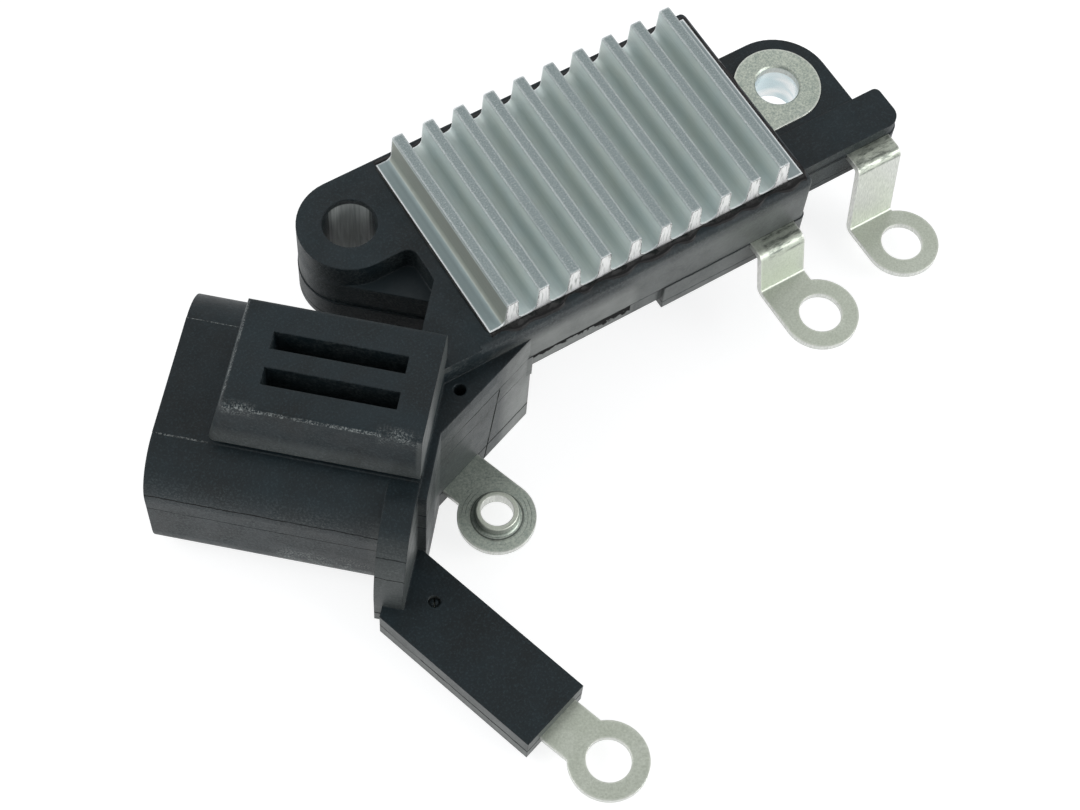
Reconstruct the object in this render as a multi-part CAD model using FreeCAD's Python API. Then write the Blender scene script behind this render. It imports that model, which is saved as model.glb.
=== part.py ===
import FreeCAD, Part
import math
import os

# Alternator voltage regulator. Millimetres, +Z up, fins on top.
# It is drawn from the near left corner of the heat sink's face, at the level of the fin roots,
# and moved at the end so that the ground bore's axis at the ear's underside is the origin.

V = FreeCAD.Vector
UP = V(0, 0, 1)

# Heat sink: a finned aluminium extrusion, cut to length
SINK_LENGTH = 44.0
SINK_WIDTH = 26.4
SINK_BASE = 3.0
FIN_HEIGHT = 4.2
FIN_TIP = 1.4
FIN_ROOT = 1.9
FIN_PITCH = 4.19
FIRST_FIN_X = 2.95
FIN_ROOT_RADIUS = 0.9
FIN_TIP_RADIUS = 0.15

# Frame of the moulding that the heat sink is glued into
OVERLAP = 1.0
GLUE_GAP = 0.3
GLUE_BELOW_FACE = 0.15
LEFT_WALL = 1.9
NEAR_WALL = 1.5
RIGHT_WALL = 0.9
FAR_WALL = 0.8
FRAME_BOTTOM = -12.3
FRAME_CORNER = 1.0
NEAR_RIM_RADIUS = 1.0
THICK_END_X = 24.0
THICK_END_DROP = 0.3
RELIEF_DEPTH = 0.5
RELIEF_BOTTOM = -11.3
REBATE_DEPTH = 0.6
PARTING_Z = -8.0
PARTING_STEP = 0.12

# Left ear: a plain boss joined to the frame by a web
LEFT_BOSS_X = -6.7
LEFT_BOSS_RADIUS = 6.35
LEFT_BORE_RADIUS = 3.3
WEB_TOP = -3.6
WEB_POCKET_RADIUS = 1.3

# Right ear: a lower boss that holds the ground plate and its bush
RIGHT_EAR_TOP = -6.3
RIGHT_EAR_BOTTOM = -12.4
RIGHT_EAR_OUT = 7.1
RIGHT_EAR_Y = 15.5
RIGHT_EAR_RADIUS = 7.1
GROUND_BORE_OUT = 7.0
GROUND_BORE_Y = 15.4
GROUND_BORE_RADIUS = 2.8
GROUND_PLATE_RADIUS = 5.55
GROUND_PLATE_THICKNESS = 1.2
GROUND_PLATE_PROUD = 0.25
GROUND_STRIP_WIDTH = 6.0
BUSH_WALL = 1.4
BORE_ROUNDING = 0.25

# Arm bar beside the right ear
BAR_TOP = -6.1
BAR_NEAR_Y = 3.2
BAR_WIDTH = 5.7
BAR_LENGTH = 17.9
BAR_NEAR_RADIUS = 2.0
BAR_FAR_RADIUS = 0.8

# Connector, drawn in its own frame: x towards the mouth, y towards the near side
CONNECTOR_ANGLE = 138.0
SHROUD_CENTRE = 11.15
SHROUD_WIDTH = 26.8
SHROUD_TOP = -3.2
SHROUD_BOTTOM = -23.3
SHROUD_RADIUS = 5.8
SHROUD_WALL = 2.1
SHROUD_FLAT_STEP = 0.1
MOUTH_X = 35.1
SOCKET_DEPTH = 20.0
FLANGE_FACE_X = 4.17
FLANGE_BACK_X = 7.7
FLANGE_NEAR_Y = 28.4
FLANGE_ROUND_WIDTH = 7.1
FLANGE_ROUND_HEIGHT = 14.0
FLANGE_FOOT = 2.0
BRIDGE_Y = 12.0
BLOCK_TOP = 5.5
BLOCK_BACK_X = 26.9
BLOCK_FAR_Y = 4.1
BLOCK_NEAR_Y = 18.0
BLOCK_LIP = 1.1
BLOCK_MOUTH_LIP = 1.6
BLOCK_LIP_Z = -1.6
BLOCK_LIP_UNDERCUT = 0.9
BLOCK_CORNER = 0.8
BLOCK_EDGE = 0.5
SLOT_START_X = 7.75
SLOT_LENGTH = 15.4
SLOT_WIDTH = 2.2
SLOT_DEPTH = 8.5
SLOT_FAR_Y = 8.96
SLOT_SPACING = 4.57

# Deep section that joins the frame, the connector and the lower arm
DECK_Z = -3.4
DEEP_RIGHT_X = 5.3
DEEP_WALL_Y = -1.35
DEEP_CORNER = (-10.5, -6.85)
DEEP_SIDE_X = 3.1
DEEP_END_Y = 20.6
DEEP_FAR_Y = 6.4
DECK_PIN = (-5.8, -3.1)
PIN_RADIUS = 0.75
DECK_PIN_DEPTH = 4.0

# Lower arm
ARM_ANGLE = -72.85
ARM_TIP_GAP = 7.58
ARM_TIP_OFFSET = 0.7
ARM_ROOT_DEPTH = 5.1
ARM_WIDTH = 9.6
ARM_TOP = -17.8
ARM_BOTTOM = -22.2
ARM_PIN = (-18.46, -19.22)

# Stamped steel terminals
STEEL = 0.8
RING_RADIUS = 4.8
RING_HOLE_RADIUS = 2.66
STRAP_WIDTH = 6.5
LEAD_Z = -8.0
UPPER_RING_INSET = 3.5
UPPER_RING_REACH = 9.17
UPPER_RING_Z = -19.7
UPPER_FOLD_REACH = 2.5
UPPER_HEEL_REACH = 3.9
LOWER_RING_INSET = 2.6
LOWER_RING_REACH = 10.0
LOWER_RING_Z = -14.1
LOWER_FOLD_REACH = 2.1
LOWER_HEEL_REACH = 3.5
HEEL_RADIUS = 0.4
BAR_TRACK_WIDTH = 2.4
BAR_TRACK_INSET = 1.0
LOWER_PAD_WIDTH = 3.0
DEEP_LEAD_Z = -20.0
FLANGED_RING = (-5.95, -12.7)
FLANGED_HOLE_RADIUS = 2.0
FLANGED_COLLAR_WALL = 0.6
FLANGED_COLLAR_HEIGHT = 1.5
FLANGED_COLLAR_ROUNDING = 0.55
FLANGED_COLLAR_LIP = 0.15
FLANGED_STRAP_DEPTH = 7.6
FLANGED_LEG_DEPTH = 10.1
LEG_WIDTH = 2.0
ARM_STRAP_ANGLE = -71.3
ARM_STRAP_LENGTH = 30.45
ARM_STRAP_WIDTH = 6.2
ARM_STRAP_ROOT = 2.5
ARM_RUN_INSET = 0.8
BLADE_WIDTH = 6.3
BLADE_TIP_GAP = 5.6
BLADE_TIP_CHAMFER = 1.2
BLADE_RISER_GAP = 2.2
BLADE_RISER_WIDTH = 1.6
BLADE_TRACK_BEND = 3.0

# Tracks: the narrow inner ends of the terminals, side by side in the moulding
TRACK_WIDTH = 1.4
TRACK_PITCH = 2.1
FIRST_TRACK_X = 0.4
TRACK_TURN_GAP = 2.7
TRACK_END_GAP = 0.4
LEG_ROOT_Y = 1.5

# Circuit chamber under the heat sink, closed from below: its walls inside the sink's edges
CHAMBER_LEFT = 10.0
CHAMBER_RIGHT = 6.0
CHAMBER_NEAR = 4.6
CHAMBER_FAR = 4.4
LEDGE_LEFT = 3.0
LEDGE_RIGHT = 3.5
LEDGE_NEAR = 3.0
LEDGE_FAR = 2.6
CHAMBER_CORNER = 1.5
WINDOW_LENGTH = 2.4
WINDOW_MARGIN = 0.6
COVER_THICKNESS = 1.2
COVER_LEDGE = 0.9
COVER_GAP = 0.1
GEL_TOP = -10.7

# Circuit: a substrate inside the chamber's walls, and what is placed from its corners
SUBSTRATE_LEFT = 1.0
SUBSTRATE_RIGHT = 2.0
SUBSTRATE_NEAR = 1.4
SUBSTRATE_FAR = 1.2
SUBSTRATE_THICKNESS = 0.8
SPREADER_LENGTH = 8.0
SPREADER_WIDTH = 7.5
SPREADER_THICKNESS = 0.6
SPREADER_RIGHT = 2.5
SPREADER_NEAR = 2.0
DIE_THICKNESS = 0.4
TRANSISTOR_SIDE = 3.6
TRANSISTOR_INSET = 0.4
DIODE_LENGTH = 3.0
DIODE_WIDTH = 2.4
CONTROL_CHIP_LENGTH = 5.2
CONTROL_CHIP_WIDTH = 4.2
CONTROL_CHIP_HEIGHT = 1.4
CONTROL_CHIP_LEFT = 2.6
CONTROL_CHIP_NEAR = 3.0
CAPACITOR_SIZE = (2.0, 1.25, 1.0)
CAPACITOR_COUNT = 3
CAPACITOR_PITCH = 3.4
CAPACITOR_LEFT = 4.0
CAPACITOR_FAR = 1.95
RESISTOR_SIZE = (1.6, 0.8, 0.5)
RESISTOR_COUNT = 5
RESISTOR_PITCH = 2.6
RESISTOR_LEFT = 2.0
RESISTOR_NEAR = 0.8
WIRE_WIDTH = 0.4
WIRE_THICKNESS = 0.2
WIRE_SAG = 0.5
WIRE_INSET = 1.0
WIRE_PITCH = 2.4
WIRE_FIRST = 2.7
WIRE_PAD_INSET = 0.8


def rounded_face(corners, z=0.0):
    """Flat face through (x, y, radius) corners, each rounded by a tangent arc."""
    count = len(corners)
    joints = []
    for i, (x, y, radius) in enumerate(corners):
        corner = V(x, y, z)
        back = (V(corners[i - 1][0], corners[i - 1][1], z) - corner).normalize()
        ahead = (V(corners[(i + 1) % count][0], corners[(i + 1) % count][1], z) - corner).normalize()
        if radius == 0:
            joints.append((corner, None, corner))
            continue
        half = back.getAngle(ahead) / 2
        reach = radius / math.tan(half)
        centre = corner + (back + ahead).normalize() * (radius / math.sin(half))
        middle = centre + (corner - centre).normalize() * radius
        joints.append((corner + back * reach, middle, corner + ahead * reach))
    edges = []
    for i, (start, middle, end) in enumerate(joints):
        if middle:
            edges.append(Part.Arc(start, middle, end).toShape())
        following = joints[(i + 1) % count][0]
        if (end - following).Length > 1e-6:
            edges.append(Part.makeLine(end, following))
    return Part.Face(Part.Wire(edges))


def band(points, width, bend=0.0):
    """Corners of an even band along a polyline, its inner bends rounded by the bend radius."""
    left, right = [], []
    last = len(points) - 1
    for i, (x, y) in enumerate(points):
        into = V(x - points[i - 1][0], y - points[i - 1][1], 0).normalize() if i > 0 else None
        out = V(points[i + 1][0] - x, points[i + 1][1] - y, 0).normalize() if i < last else None
        into = into or out
        out = out or into
        along = (into + out).normalize()
        side = V(-along.y, along.x, 0) * (width / 2 / math.cos(into.getAngle(out) / 2))
        turn = into.x * out.y - into.y * out.x
        bent = bend if abs(turn) > 1e-6 else 0.0
        inner, outer = bent, bent + width if bent else 0.0
        left.append((x + side.x, y + side.y, inner if turn > 0 else outer))
        right.append((x - side.x, y - side.y, outer if turn > 0 else inner))
    return left + right[::-1]


def prism(corners, bottom, top):
    return rounded_face(corners, bottom).extrude(UP * (top - bottom))


def box(x0, x1, y0, y1, bottom, top):
    return Part.makeBox(x1 - x0, y1 - y0, top - bottom, V(x0, y0, bottom))


def disc(x, y, radius, bottom, top):
    return Part.makeCylinder(radius, top - bottom, V(x, y, bottom), UP)


def joined(first, *others):
    return first.multiFuse(list(others)).removeSplitter()


def moulded(shape_at, bottom, top):
    """A wall moulded in two halves: below the parting line it is a step wider."""
    upper = shape_at(0.0, PARTING_Z, top)
    lower = shape_at(PARTING_STEP, bottom, PARTING_Z)
    return joined(upper, lower)


def revolved(outline, x, y):
    """Solid of revolution from (radius, z) corners about the upright axis through x, y."""
    flat = rounded_face(outline)
    flat.rotate(V(0, 0, 0), V(1, 0, 0), 90)
    solid = flat.revolve(V(0, 0, 0), UP, 360)
    solid.translate(V(x, y, 0))
    return solid


def from_connector(shape):
    """Turn a shape from the connector's frame into the heat sink's."""
    turned = shape.copy()
    turned.rotate(V(0, 0, 0), UP, CONNECTOR_ANGLE)
    return turned


def connector_point(x, y):
    angle = math.radians(CONNECTOR_ANGLE)
    return (x * math.cos(angle) - y * math.sin(angle), x * math.sin(angle) + y * math.cos(angle))


def into_connector(x, y):
    angle = math.radians(CONNECTOR_ANGLE)
    return (x * math.cos(angle) + y * math.sin(angle), y * math.cos(angle) - x * math.sin(angle))


def towards(degrees):
    return V(math.cos(math.radians(degrees)), math.sin(math.radians(degrees)), 0)


def rectangle(x0, x1, y0, y1):
    return [(x0, y0), (x1, y0), (x1, y1), (x0, y1)]


# Places that several pieces share
fin_count = 1 + int((SINK_LENGTH - FIRST_FIN_X - FIN_ROOT) / FIN_PITCH)
frame_right = SINK_LENGTH + RIGHT_WALL
frame_far = SINK_WIDTH + FAR_WALL
left_boss_y = frame_far - LEFT_BOSS_RADIUS
right_ear_x = frame_right + RIGHT_EAR_OUT
ground_bore_x = frame_right + GROUND_BORE_OUT
bar_tip_x = frame_right + BAR_LENGTH
bar_far_y = BAR_NEAR_Y + BAR_WIDTH
ground_plate_top = RIGHT_EAR_TOP + GROUND_PLATE_PROUD
ground_plate_bottom = ground_plate_top - GROUND_PLATE_THICKNESS
ground_plate_near = GROUND_BORE_Y - GROUND_PLATE_RADIUS
upper_ring_x = bar_tip_x - UPPER_RING_INSET
lower_ring_x = SINK_LENGTH - LOWER_RING_INSET
lower_strap_left = lower_ring_x - RING_RADIUS
shroud_near_y = SHROUD_CENTRE + SHROUD_WIDTH / 2
shroud_far_y = SHROUD_CENTRE - SHROUD_WIDTH / 2
socket_floor_x = MOUTH_X - SOCKET_DEPTH
socket_middle_z = (SHROUD_TOP + SHROUD_BOTTOM) / 2
web_face_y = into_connector(LEFT_BOSS_X, left_boss_y)[1] + LEFT_BOSS_RADIUS
blade_ys = [SLOT_FAR_Y, SLOT_FAR_Y + SLOT_SPACING]
arm_strap_root = V(*connector_point(FLANGE_FACE_X, FLANGE_NEAR_Y - ARM_STRAP_ROOT), 0)
arm_ring = arm_strap_root + towards(ARM_STRAP_ANGLE) * ARM_STRAP_LENGTH
arm_tip = arm_ring - towards(ARM_ANGLE) * ARM_TIP_GAP - towards(ARM_ANGLE + 90) * ARM_TIP_OFFSET
wall_angle = math.degrees(math.atan2(DEEP_WALL_Y - DEEP_CORNER[1], DEEP_RIGHT_X - DEEP_CORNER[0]))
lead_bottom = LEAD_Z - STEEL
cover_top = FRAME_BOTTOM + COVER_THICKNESS
chamber_right = SINK_LENGTH - CHAMBER_RIGHT
chamber_far = SINK_WIDTH - CHAMBER_FAR
upper_chamber = (CHAMBER_LEFT, chamber_right, CHAMBER_NEAR, chamber_far)
lower_chamber = (CHAMBER_LEFT - LEDGE_LEFT, chamber_right + LEDGE_RIGHT,
                 CHAMBER_NEAR - LEDGE_NEAR, chamber_far + LEDGE_FAR)
chamber_roof = -SINK_BASE
substrate_face = chamber_roof - SUBSTRATE_THICKNESS
substrate_left = CHAMBER_LEFT + SUBSTRATE_LEFT
substrate_right = chamber_right - SUBSTRATE_RIGHT
substrate_near = CHAMBER_NEAR + SUBSTRATE_NEAR
substrate_far = chamber_far - SUBSTRATE_FAR
spreader_face = substrate_face - SPREADER_THICKNESS
spreader_left = substrate_right - SPREADER_RIGHT - SPREADER_LENGTH
spreader_near = substrate_near + SPREADER_NEAR
track_end_x = CHAMBER_LEFT - TRACK_END_GAP


def lane_x(index):
    return FIRST_TRACK_X + index * TRACK_PITCH


def track(index, start_points):
    """Corners of the plan of one track: its own start, then beside its neighbours, then its pad."""
    along = towards(CONNECTOR_ANGLE)
    turn_x = CHAMBER_LEFT - TRACK_TURN_GAP
    turn_y = (lane_x(index) - turn_x * along.x) / along.y
    points = [connector_point(x, y) for x, y in start_points]
    points += [(turn_x, turn_y), (track_end_x, turn_y)]
    return band(points, TRACK_WIDTH), turn_y


# Heat sink
def heat_sink():
    corners = [(0, -SINK_BASE, 0), (0, 0, 0)]
    for i in range(fin_count):
        middle = FIRST_FIN_X + i * FIN_PITCH
        corners.append((middle - FIN_ROOT / 2, 0, FIN_ROOT_RADIUS))
        corners.append((middle - FIN_TIP / 2, FIN_HEIGHT, FIN_TIP_RADIUS))
        corners.append((middle + FIN_TIP / 2, FIN_HEIGHT, FIN_TIP_RADIUS))
        corners.append((middle + FIN_ROOT / 2, 0, FIN_ROOT_RADIUS))
    corners += [(SINK_LENGTH, 0, 0), (SINK_LENGTH, -SINK_BASE, 0)]
    section = rounded_face(corners)
    section.rotate(V(0, 0, 0), V(1, 0, 0), 90)
    return section.extrude(V(0, SINK_WIDTH, 0))


def sink_seat(top):
    """The sink's place in the frame, with room for its glue all round."""
    sides = rectangle(-GLUE_GAP, SINK_LENGTH + GLUE_GAP, -GLUE_GAP, SINK_WIDTH + GLUE_GAP)
    return prism([(x, y, FRAME_CORNER) for x, y in sides], -SINK_BASE, top)


def heat_sink_adhesive():
    return sink_seat(-GLUE_BELOW_FACE).cut(box(0, SINK_LENGTH, 0, SINK_WIDTH, -SINK_BASE, 0))


# Terminals
def folded_strap(points, x0, x1):
    """Strip folded along (y, z) points and as wide as x0 to x1."""
    side = rounded_face(band(points, STEEL, HEEL_RADIUS)).extrude(UP * (x1 - x0))
    side.rotate(V(0, 0, 0), V(1, 1, 1), 120)
    side.translate(V(x0, 0, 0))
    return side


def ring_terminal(ring_x, ring_z, wall_y, reaches, inner_y):
    """Ring, a leg up to the lead level and a strap that runs into the moulding at wall_y."""
    ring_y, heel_y, fold_y = [wall_y - reach for reach in reaches]
    left = ring_x - RING_RADIUS
    lead_middle = LEAD_Z - STEEL / 2
    ring_middle = ring_z - STEEL / 2
    route = [(inner_y, lead_middle), (fold_y, lead_middle), (heel_y, ring_middle), (ring_y, ring_middle)]
    strap = folded_strap(route, left, left + STRAP_WIDTH)
    ring = disc(ring_x, ring_y, RING_RADIUS, ring_z - STEEL, ring_z)
    hole = disc(ring_x, ring_y, RING_HOLE_RADIUS, ring_z - 2 * STEEL, ring_z + STEEL)
    return joined(strap, ring).cut(hole)


def upper_ring_terminal():
    inner_y = bar_far_y - BAR_TRACK_INSET
    reaches = (UPPER_RING_REACH, UPPER_HEEL_REACH, UPPER_FOLD_REACH)
    outer = ring_terminal(upper_ring_x, UPPER_RING_Z, BAR_NEAR_Y, reaches, inner_y)
    run = box(chamber_right, upper_ring_x, inner_y - BAR_TRACK_WIDTH, inner_y, lead_bottom, LEAD_Z)
    return joined(outer, run)


def lower_ring_terminal():
    reaches = (LOWER_RING_REACH, LOWER_HEEL_REACH, LOWER_FOLD_REACH)
    outer = ring_terminal(lower_ring_x, LOWER_RING_Z, -NEAR_WALL, reaches, -GLUE_GAP)
    pad = box(lower_strap_left, lower_strap_left + LOWER_PAD_WIDTH, -NEAR_WALL, CHAMBER_NEAR,
              lead_bottom, LEAD_Z)
    return joined(outer, pad)


def ground_plate():
    plate = disc(ground_bore_x, GROUND_BORE_Y, GROUND_PLATE_RADIUS, ground_plate_bottom, ground_plate_top)
    tail = box(frame_right, ground_bore_x, ground_plate_near, GROUND_BORE_Y,
               ground_plate_bottom, ground_plate_top)
    strip = box(chamber_right, frame_right, ground_plate_near, ground_plate_near + GROUND_STRIP_WIDTH,
                ground_plate_bottom, ground_plate_top)
    hole = revolved([(0, ground_plate_bottom - 1, 0), (GROUND_BORE_RADIUS, ground_plate_bottom - 1, 0),
                     (GROUND_BORE_RADIUS, ground_plate_top - BORE_ROUNDING, 0),
                     (GROUND_BORE_RADIUS + BORE_ROUNDING, ground_plate_top, 0),
                     (GROUND_BORE_RADIUS + BORE_ROUNDING, ground_plate_top + 1, 0),
                     (0, ground_plate_top + 1, 0)], ground_bore_x, GROUND_BORE_Y)
    return joined(plate, tail, strip).cut(hole)


def ear_bush():
    outer = disc(ground_bore_x, GROUND_BORE_Y, GROUND_BORE_RADIUS + BUSH_WALL,
                 RIGHT_EAR_BOTTOM, ground_plate_bottom)
    return outer.cut(disc(ground_bore_x, GROUND_BORE_Y, GROUND_BORE_RADIUS,
                          RIGHT_EAR_BOTTOM, ground_plate_bottom))


def outer_place(x, y):
    """A point of the flanged terminal's own plan, in the heat sink's frame."""
    across = towards(wall_angle)
    return V(FLANGED_RING[0] + x * across.x - y * across.y, FLANGED_RING[1] + x * across.y + y * across.x, 0)


def flanged_terminal():
    """Ring with a collar drawn up round its hole, a strap square to the wall, a leg and a track."""
    top = DEEP_LEAD_Z
    bottom = top - STEEL
    hole = FLANGED_HOLE_RADIUS
    collar = hole + FLANGED_COLLAR_WALL
    collar_top = top + FLANGED_COLLAR_HEIGHT
    section = [(hole, bottom, FLANGED_COLLAR_ROUNDING), (RING_RADIUS, bottom, 0), (RING_RADIUS, top, 0),
               (collar, top, FLANGED_COLLAR_ROUNDING), (collar, collar_top, FLANGED_COLLAR_LIP),
               (hole, collar_top, 0)]
    ring = revolved(section, 0, 0)
    left = RING_RADIUS - STRAP_WIDTH
    leg_left = RING_RADIUS - LEG_WIDTH / 2
    leg_right = RING_RADIUS + LEG_WIDTH / 2
    root = FLANGED_LEG_DEPTH
    strap = box(left, RING_RADIUS, 0, FLANGED_STRAP_DEPTH, bottom, top)
    strap = strap.cut(disc(0, 0, (RING_RADIUS + collar) / 2, bottom, top))
    tab = box(leg_left, leg_right, FLANGED_STRAP_DEPTH - STEEL / 2, root, bottom, top)
    leg = box(leg_left, leg_right, root - STEEL, root, bottom, LEAD_Z)
    outer = joined(ring, strap, tab, leg)
    outer.rotate(V(0, 0, 0), UP, wall_angle)
    outer.translate(V(FLANGED_RING[0], FLANGED_RING[1], 0))
    leg_middle = outer_place((leg_left + leg_right) / 2, root - STEEL / 2)
    start_y = into_connector(leg_middle.x, leg_middle.y)[1] + LEG_WIDTH / 2
    plan, _ = track(1, [(lane_x(1), start_y)])
    return joined(outer, prism(plan, lead_bottom, LEAD_Z))


def arm_terminal():
    """Flat ring at the arm's tip, a strap through the arm, a leg and a track."""
    top = DEEP_LEAD_Z
    bottom = top - STEEL
    ring = disc(arm_ring.x, arm_ring.y, RING_RADIUS, bottom, top)
    hole = disc(arm_ring.x, arm_ring.y, RING_HOLE_RADIUS, bottom - 1, top + 1)
    strap_ends = [(arm_ring.x, arm_ring.y), (arm_strap_root.x, arm_strap_root.y)]
    strap = prism(band(strap_ends, ARM_STRAP_WIDTH), bottom, top)
    run_x = FLANGE_BACK_X - LEG_WIDTH
    route = [connector_point(run_x, FLANGE_NEAR_Y - ARM_RUN_INSET), connector_point(run_x, LEG_ROOT_Y),
             connector_point(lane_x(0), LEG_ROOT_Y)]
    inner = prism(band(route, LEG_WIDTH), bottom, top)
    leg = from_connector(box(lane_x(0) - STEEL / 2, lane_x(0) + STEEL / 2, LEG_ROOT_Y - LEG_WIDTH / 2,
                             LEG_ROOT_Y + LEG_WIDTH / 2, bottom, LEAD_Z))
    plan, _ = track(0, [(lane_x(0), LEG_ROOT_Y + LEG_WIDTH / 2)])
    run = prism(plan, lead_bottom, LEAD_Z)
    return joined(ring, strap, inner, leg, run).cut(hole)


def blade_terminal(index, lane):
    """Upright blade in the socket, a riser behind its wall and a track into the chamber."""
    y = blade_ys[index]
    low, high = socket_middle_z - BLADE_WIDTH / 2, socket_middle_z + BLADE_WIDTH / 2
    back = FLANGE_BACK_X + BLADE_RISER_GAP
    front = back + BLADE_RISER_WIDTH
    tip = MOUTH_X - BLADE_TIP_GAP
    side = [(back, low, 0), (tip, low, BLADE_TIP_CHAMFER), (tip, high, BLADE_TIP_CHAMFER),
            (front, high, 0), (front, LEAD_Z, 0), (back, LEAD_Z, 0)]
    plate = rounded_face(side)
    plate.rotate(V(0, 0, 0), V(1, 0, 0), 90)
    plate = plate.extrude(V(0, STEEL, 0))
    plate.translate(V(0, y - STEEL / 2, 0))
    plan, _ = track(lane, [((back + front) / 2, y), (lane_x(lane), y - BLADE_TRACK_BEND)])
    run = prism(plan, lead_bottom, LEAD_Z)
    return joined(from_connector(plate), run)


# Moulding
def frame_block():
    """Frame with its near and right rims rounded; the far rim is too thin for that."""
    def corners(grow, far_corner):
        return [(-LEFT_WALL, -NEAR_WALL - grow, 0), (frame_right + grow, -NEAR_WALL - grow, FRAME_CORNER),
                (frame_right + grow, frame_far + grow, far_corner), (-LEFT_WALL, frame_far + grow, 0)]

    def wall(grow, bottom, top):
        return prism(corners(grow, FRAME_CORNER), bottom, top)

    upper = prism(corners(0.0, 0), PARTING_Z, 0.0)
    near_rim = [edge for edge in upper.Edges
                if edge.BoundBox.ZMin > -0.01 and edge.BoundBox.YMax < -NEAR_WALL + 0.01]
    upper = upper.makeFillet(NEAR_RIM_RADIUS, near_rim).common(wall(0.0, PARTING_Z, 0.0))
    frame = joined(upper, wall(PARTING_STEP, FRAME_BOTTOM, PARTING_Z))
    thick_end = wall(PARTING_STEP, FRAME_BOTTOM - THICK_END_DROP, FRAME_BOTTOM)
    thick_end = thick_end.cut(box(-50, THICK_END_X, -50, 50, -50, 0))
    relief_y = -NEAR_WALL + RELIEF_DEPTH
    relief = box(DEEP_RIGHT_X, THICK_END_X, -50, relief_y, FRAME_BOTTOM - 1, PARTING_Z)
    rebate = box(DEEP_RIGHT_X, THICK_END_X, -50, relief_y + REBATE_DEPTH, FRAME_BOTTOM - 1,
                 RELIEF_BOTTOM)
    return joined(frame.cut(relief).cut(rebate), thick_end)


def left_ear():
    def upper(grow, bottom, top):
        boss = disc(LEFT_BOSS_X, left_boss_y, LEFT_BOSS_RADIUS + grow, bottom, top)
        near_y = left_boss_y - LEFT_BOSS_RADIUS - grow
        bridge = box(LEFT_BOSS_X, -LEFT_WALL + OVERLAP, near_y, frame_far + grow, bottom, top)
        return joined(boss, bridge)

    def web(grow, bottom, top):
        radius = LEFT_BOSS_RADIUS + grow
        touch = connector_point(into_connector(LEFT_BOSS_X, left_boss_y)[0], web_face_y + grow)
        front = connector_point(FLANGE_BACK_X - OVERLAP, web_face_y + grow)
        corners = [(LEFT_BOSS_X, left_boss_y, 0), (touch[0], touch[1], 0), (front[0], front[1], 0),
                   (-LEFT_WALL + OVERLAP, front[1], 0), (-LEFT_WALL + OVERLAP, left_boss_y, 0)]
        return joined(prism(corners, bottom, top), disc(LEFT_BOSS_X, left_boss_y, radius, bottom, top))

    ear = joined(upper(0.0, WEB_TOP, 0.0), moulded(web, FRAME_BOTTOM, WEB_TOP),
                 moulded(upper, FRAME_BOTTOM, 0.0))
    fillet_y = left_boss_y - LEFT_BOSS_RADIUS - WEB_POCKET_RADIUS
    corner = box(-LEFT_WALL - WEB_POCKET_RADIUS, -LEFT_WALL, fillet_y, fillet_y + WEB_POCKET_RADIUS,
                 WEB_TOP, 0.0)
    corner = corner.cut(disc(-LEFT_WALL - WEB_POCKET_RADIUS, fillet_y, WEB_POCKET_RADIUS, WEB_TOP, 0.0))
    return joined(ear, corner)


def right_ear():
    root_x = frame_right - OVERLAP

    def boss(grow, bottom, top):
        radius = RIGHT_EAR_RADIUS + grow
        corners = [(root_x, BAR_NEAR_Y + OVERLAP, 0), (right_ear_x + radius, BAR_NEAR_Y + OVERLAP, 0),
                   (right_ear_x + radius, RIGHT_EAR_Y + radius, radius), (root_x, RIGHT_EAR_Y + radius, 0)]
        return prism(corners, bottom, top)

    def bar(grow, bottom, top):
        corners = [(root_x, BAR_NEAR_Y - grow, 0),
                   (bar_tip_x + grow, BAR_NEAR_Y - grow, BAR_NEAR_RADIUS),
                   (bar_tip_x + grow, bar_far_y + grow, BAR_FAR_RADIUS),
                   (root_x, bar_far_y + grow, 0)]
        return prism(corners, bottom, top)

    return joined(moulded(boss, RIGHT_EAR_BOTTOM, RIGHT_EAR_TOP), moulded(bar, RIGHT_EAR_BOTTOM, BAR_TOP))


def deep_section():
    side = connector_point(DEEP_SIDE_X, DEEP_END_Y)
    end = connector_point(FLANGE_BACK_X, DEEP_END_Y)
    far = connector_point(FLANGE_BACK_X, shroud_far_y)
    corners = [(DEEP_RIGHT_X, DEEP_WALL_Y, 0), (DEEP_RIGHT_X, DEEP_FAR_Y, 0), (far[0], DEEP_FAR_Y, 0),
               (far[0], far[1], 0), (end[0], end[1], 0), (side[0], side[1], 0),
               (DEEP_CORNER[0], DEEP_CORNER[1], 0)]
    return prism(corners, SHROUD_BOTTOM, DECK_Z)


def lower_arm():
    length = ARM_STRAP_LENGTH - ARM_TIP_GAP + ARM_ROOT_DEPTH
    root = arm_tip - towards(ARM_ANGLE) * length
    arm = prism(band([(arm_tip.x, arm_tip.y), (root.x, root.y)], ARM_WIDTH), ARM_BOTTOM, ARM_TOP)
    beyond = from_connector(box(FLANGE_BACK_X - OVERLAP, MOUTH_X, -MOUTH_X, MOUTH_X, ARM_BOTTOM, ARM_TOP))
    return arm.cut(beyond)


def shroud():
    section = rectangle(shroud_far_y, shroud_near_y, SHROUD_BOTTOM, SHROUD_TOP)
    face = rounded_face([(y, z, SHROUD_RADIUS) for y, z in section])
    solid = face.extrude(UP * (MOUTH_X - FLANGE_FACE_X))
    solid.rotate(V(0, 0, 0), V(1, 1, 1), 120)
    solid.translate(V(FLANGE_FACE_X, 0, 0))
    flat = box(FLANGE_FACE_X, MOUTH_X, shroud_far_y + SHROUD_RADIUS, shroud_near_y - SHROUD_RADIUS,
               SHROUD_TOP - OVERLAP, SHROUD_TOP + SHROUD_FLAT_STEP)
    return joined(solid, flat)


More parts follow.
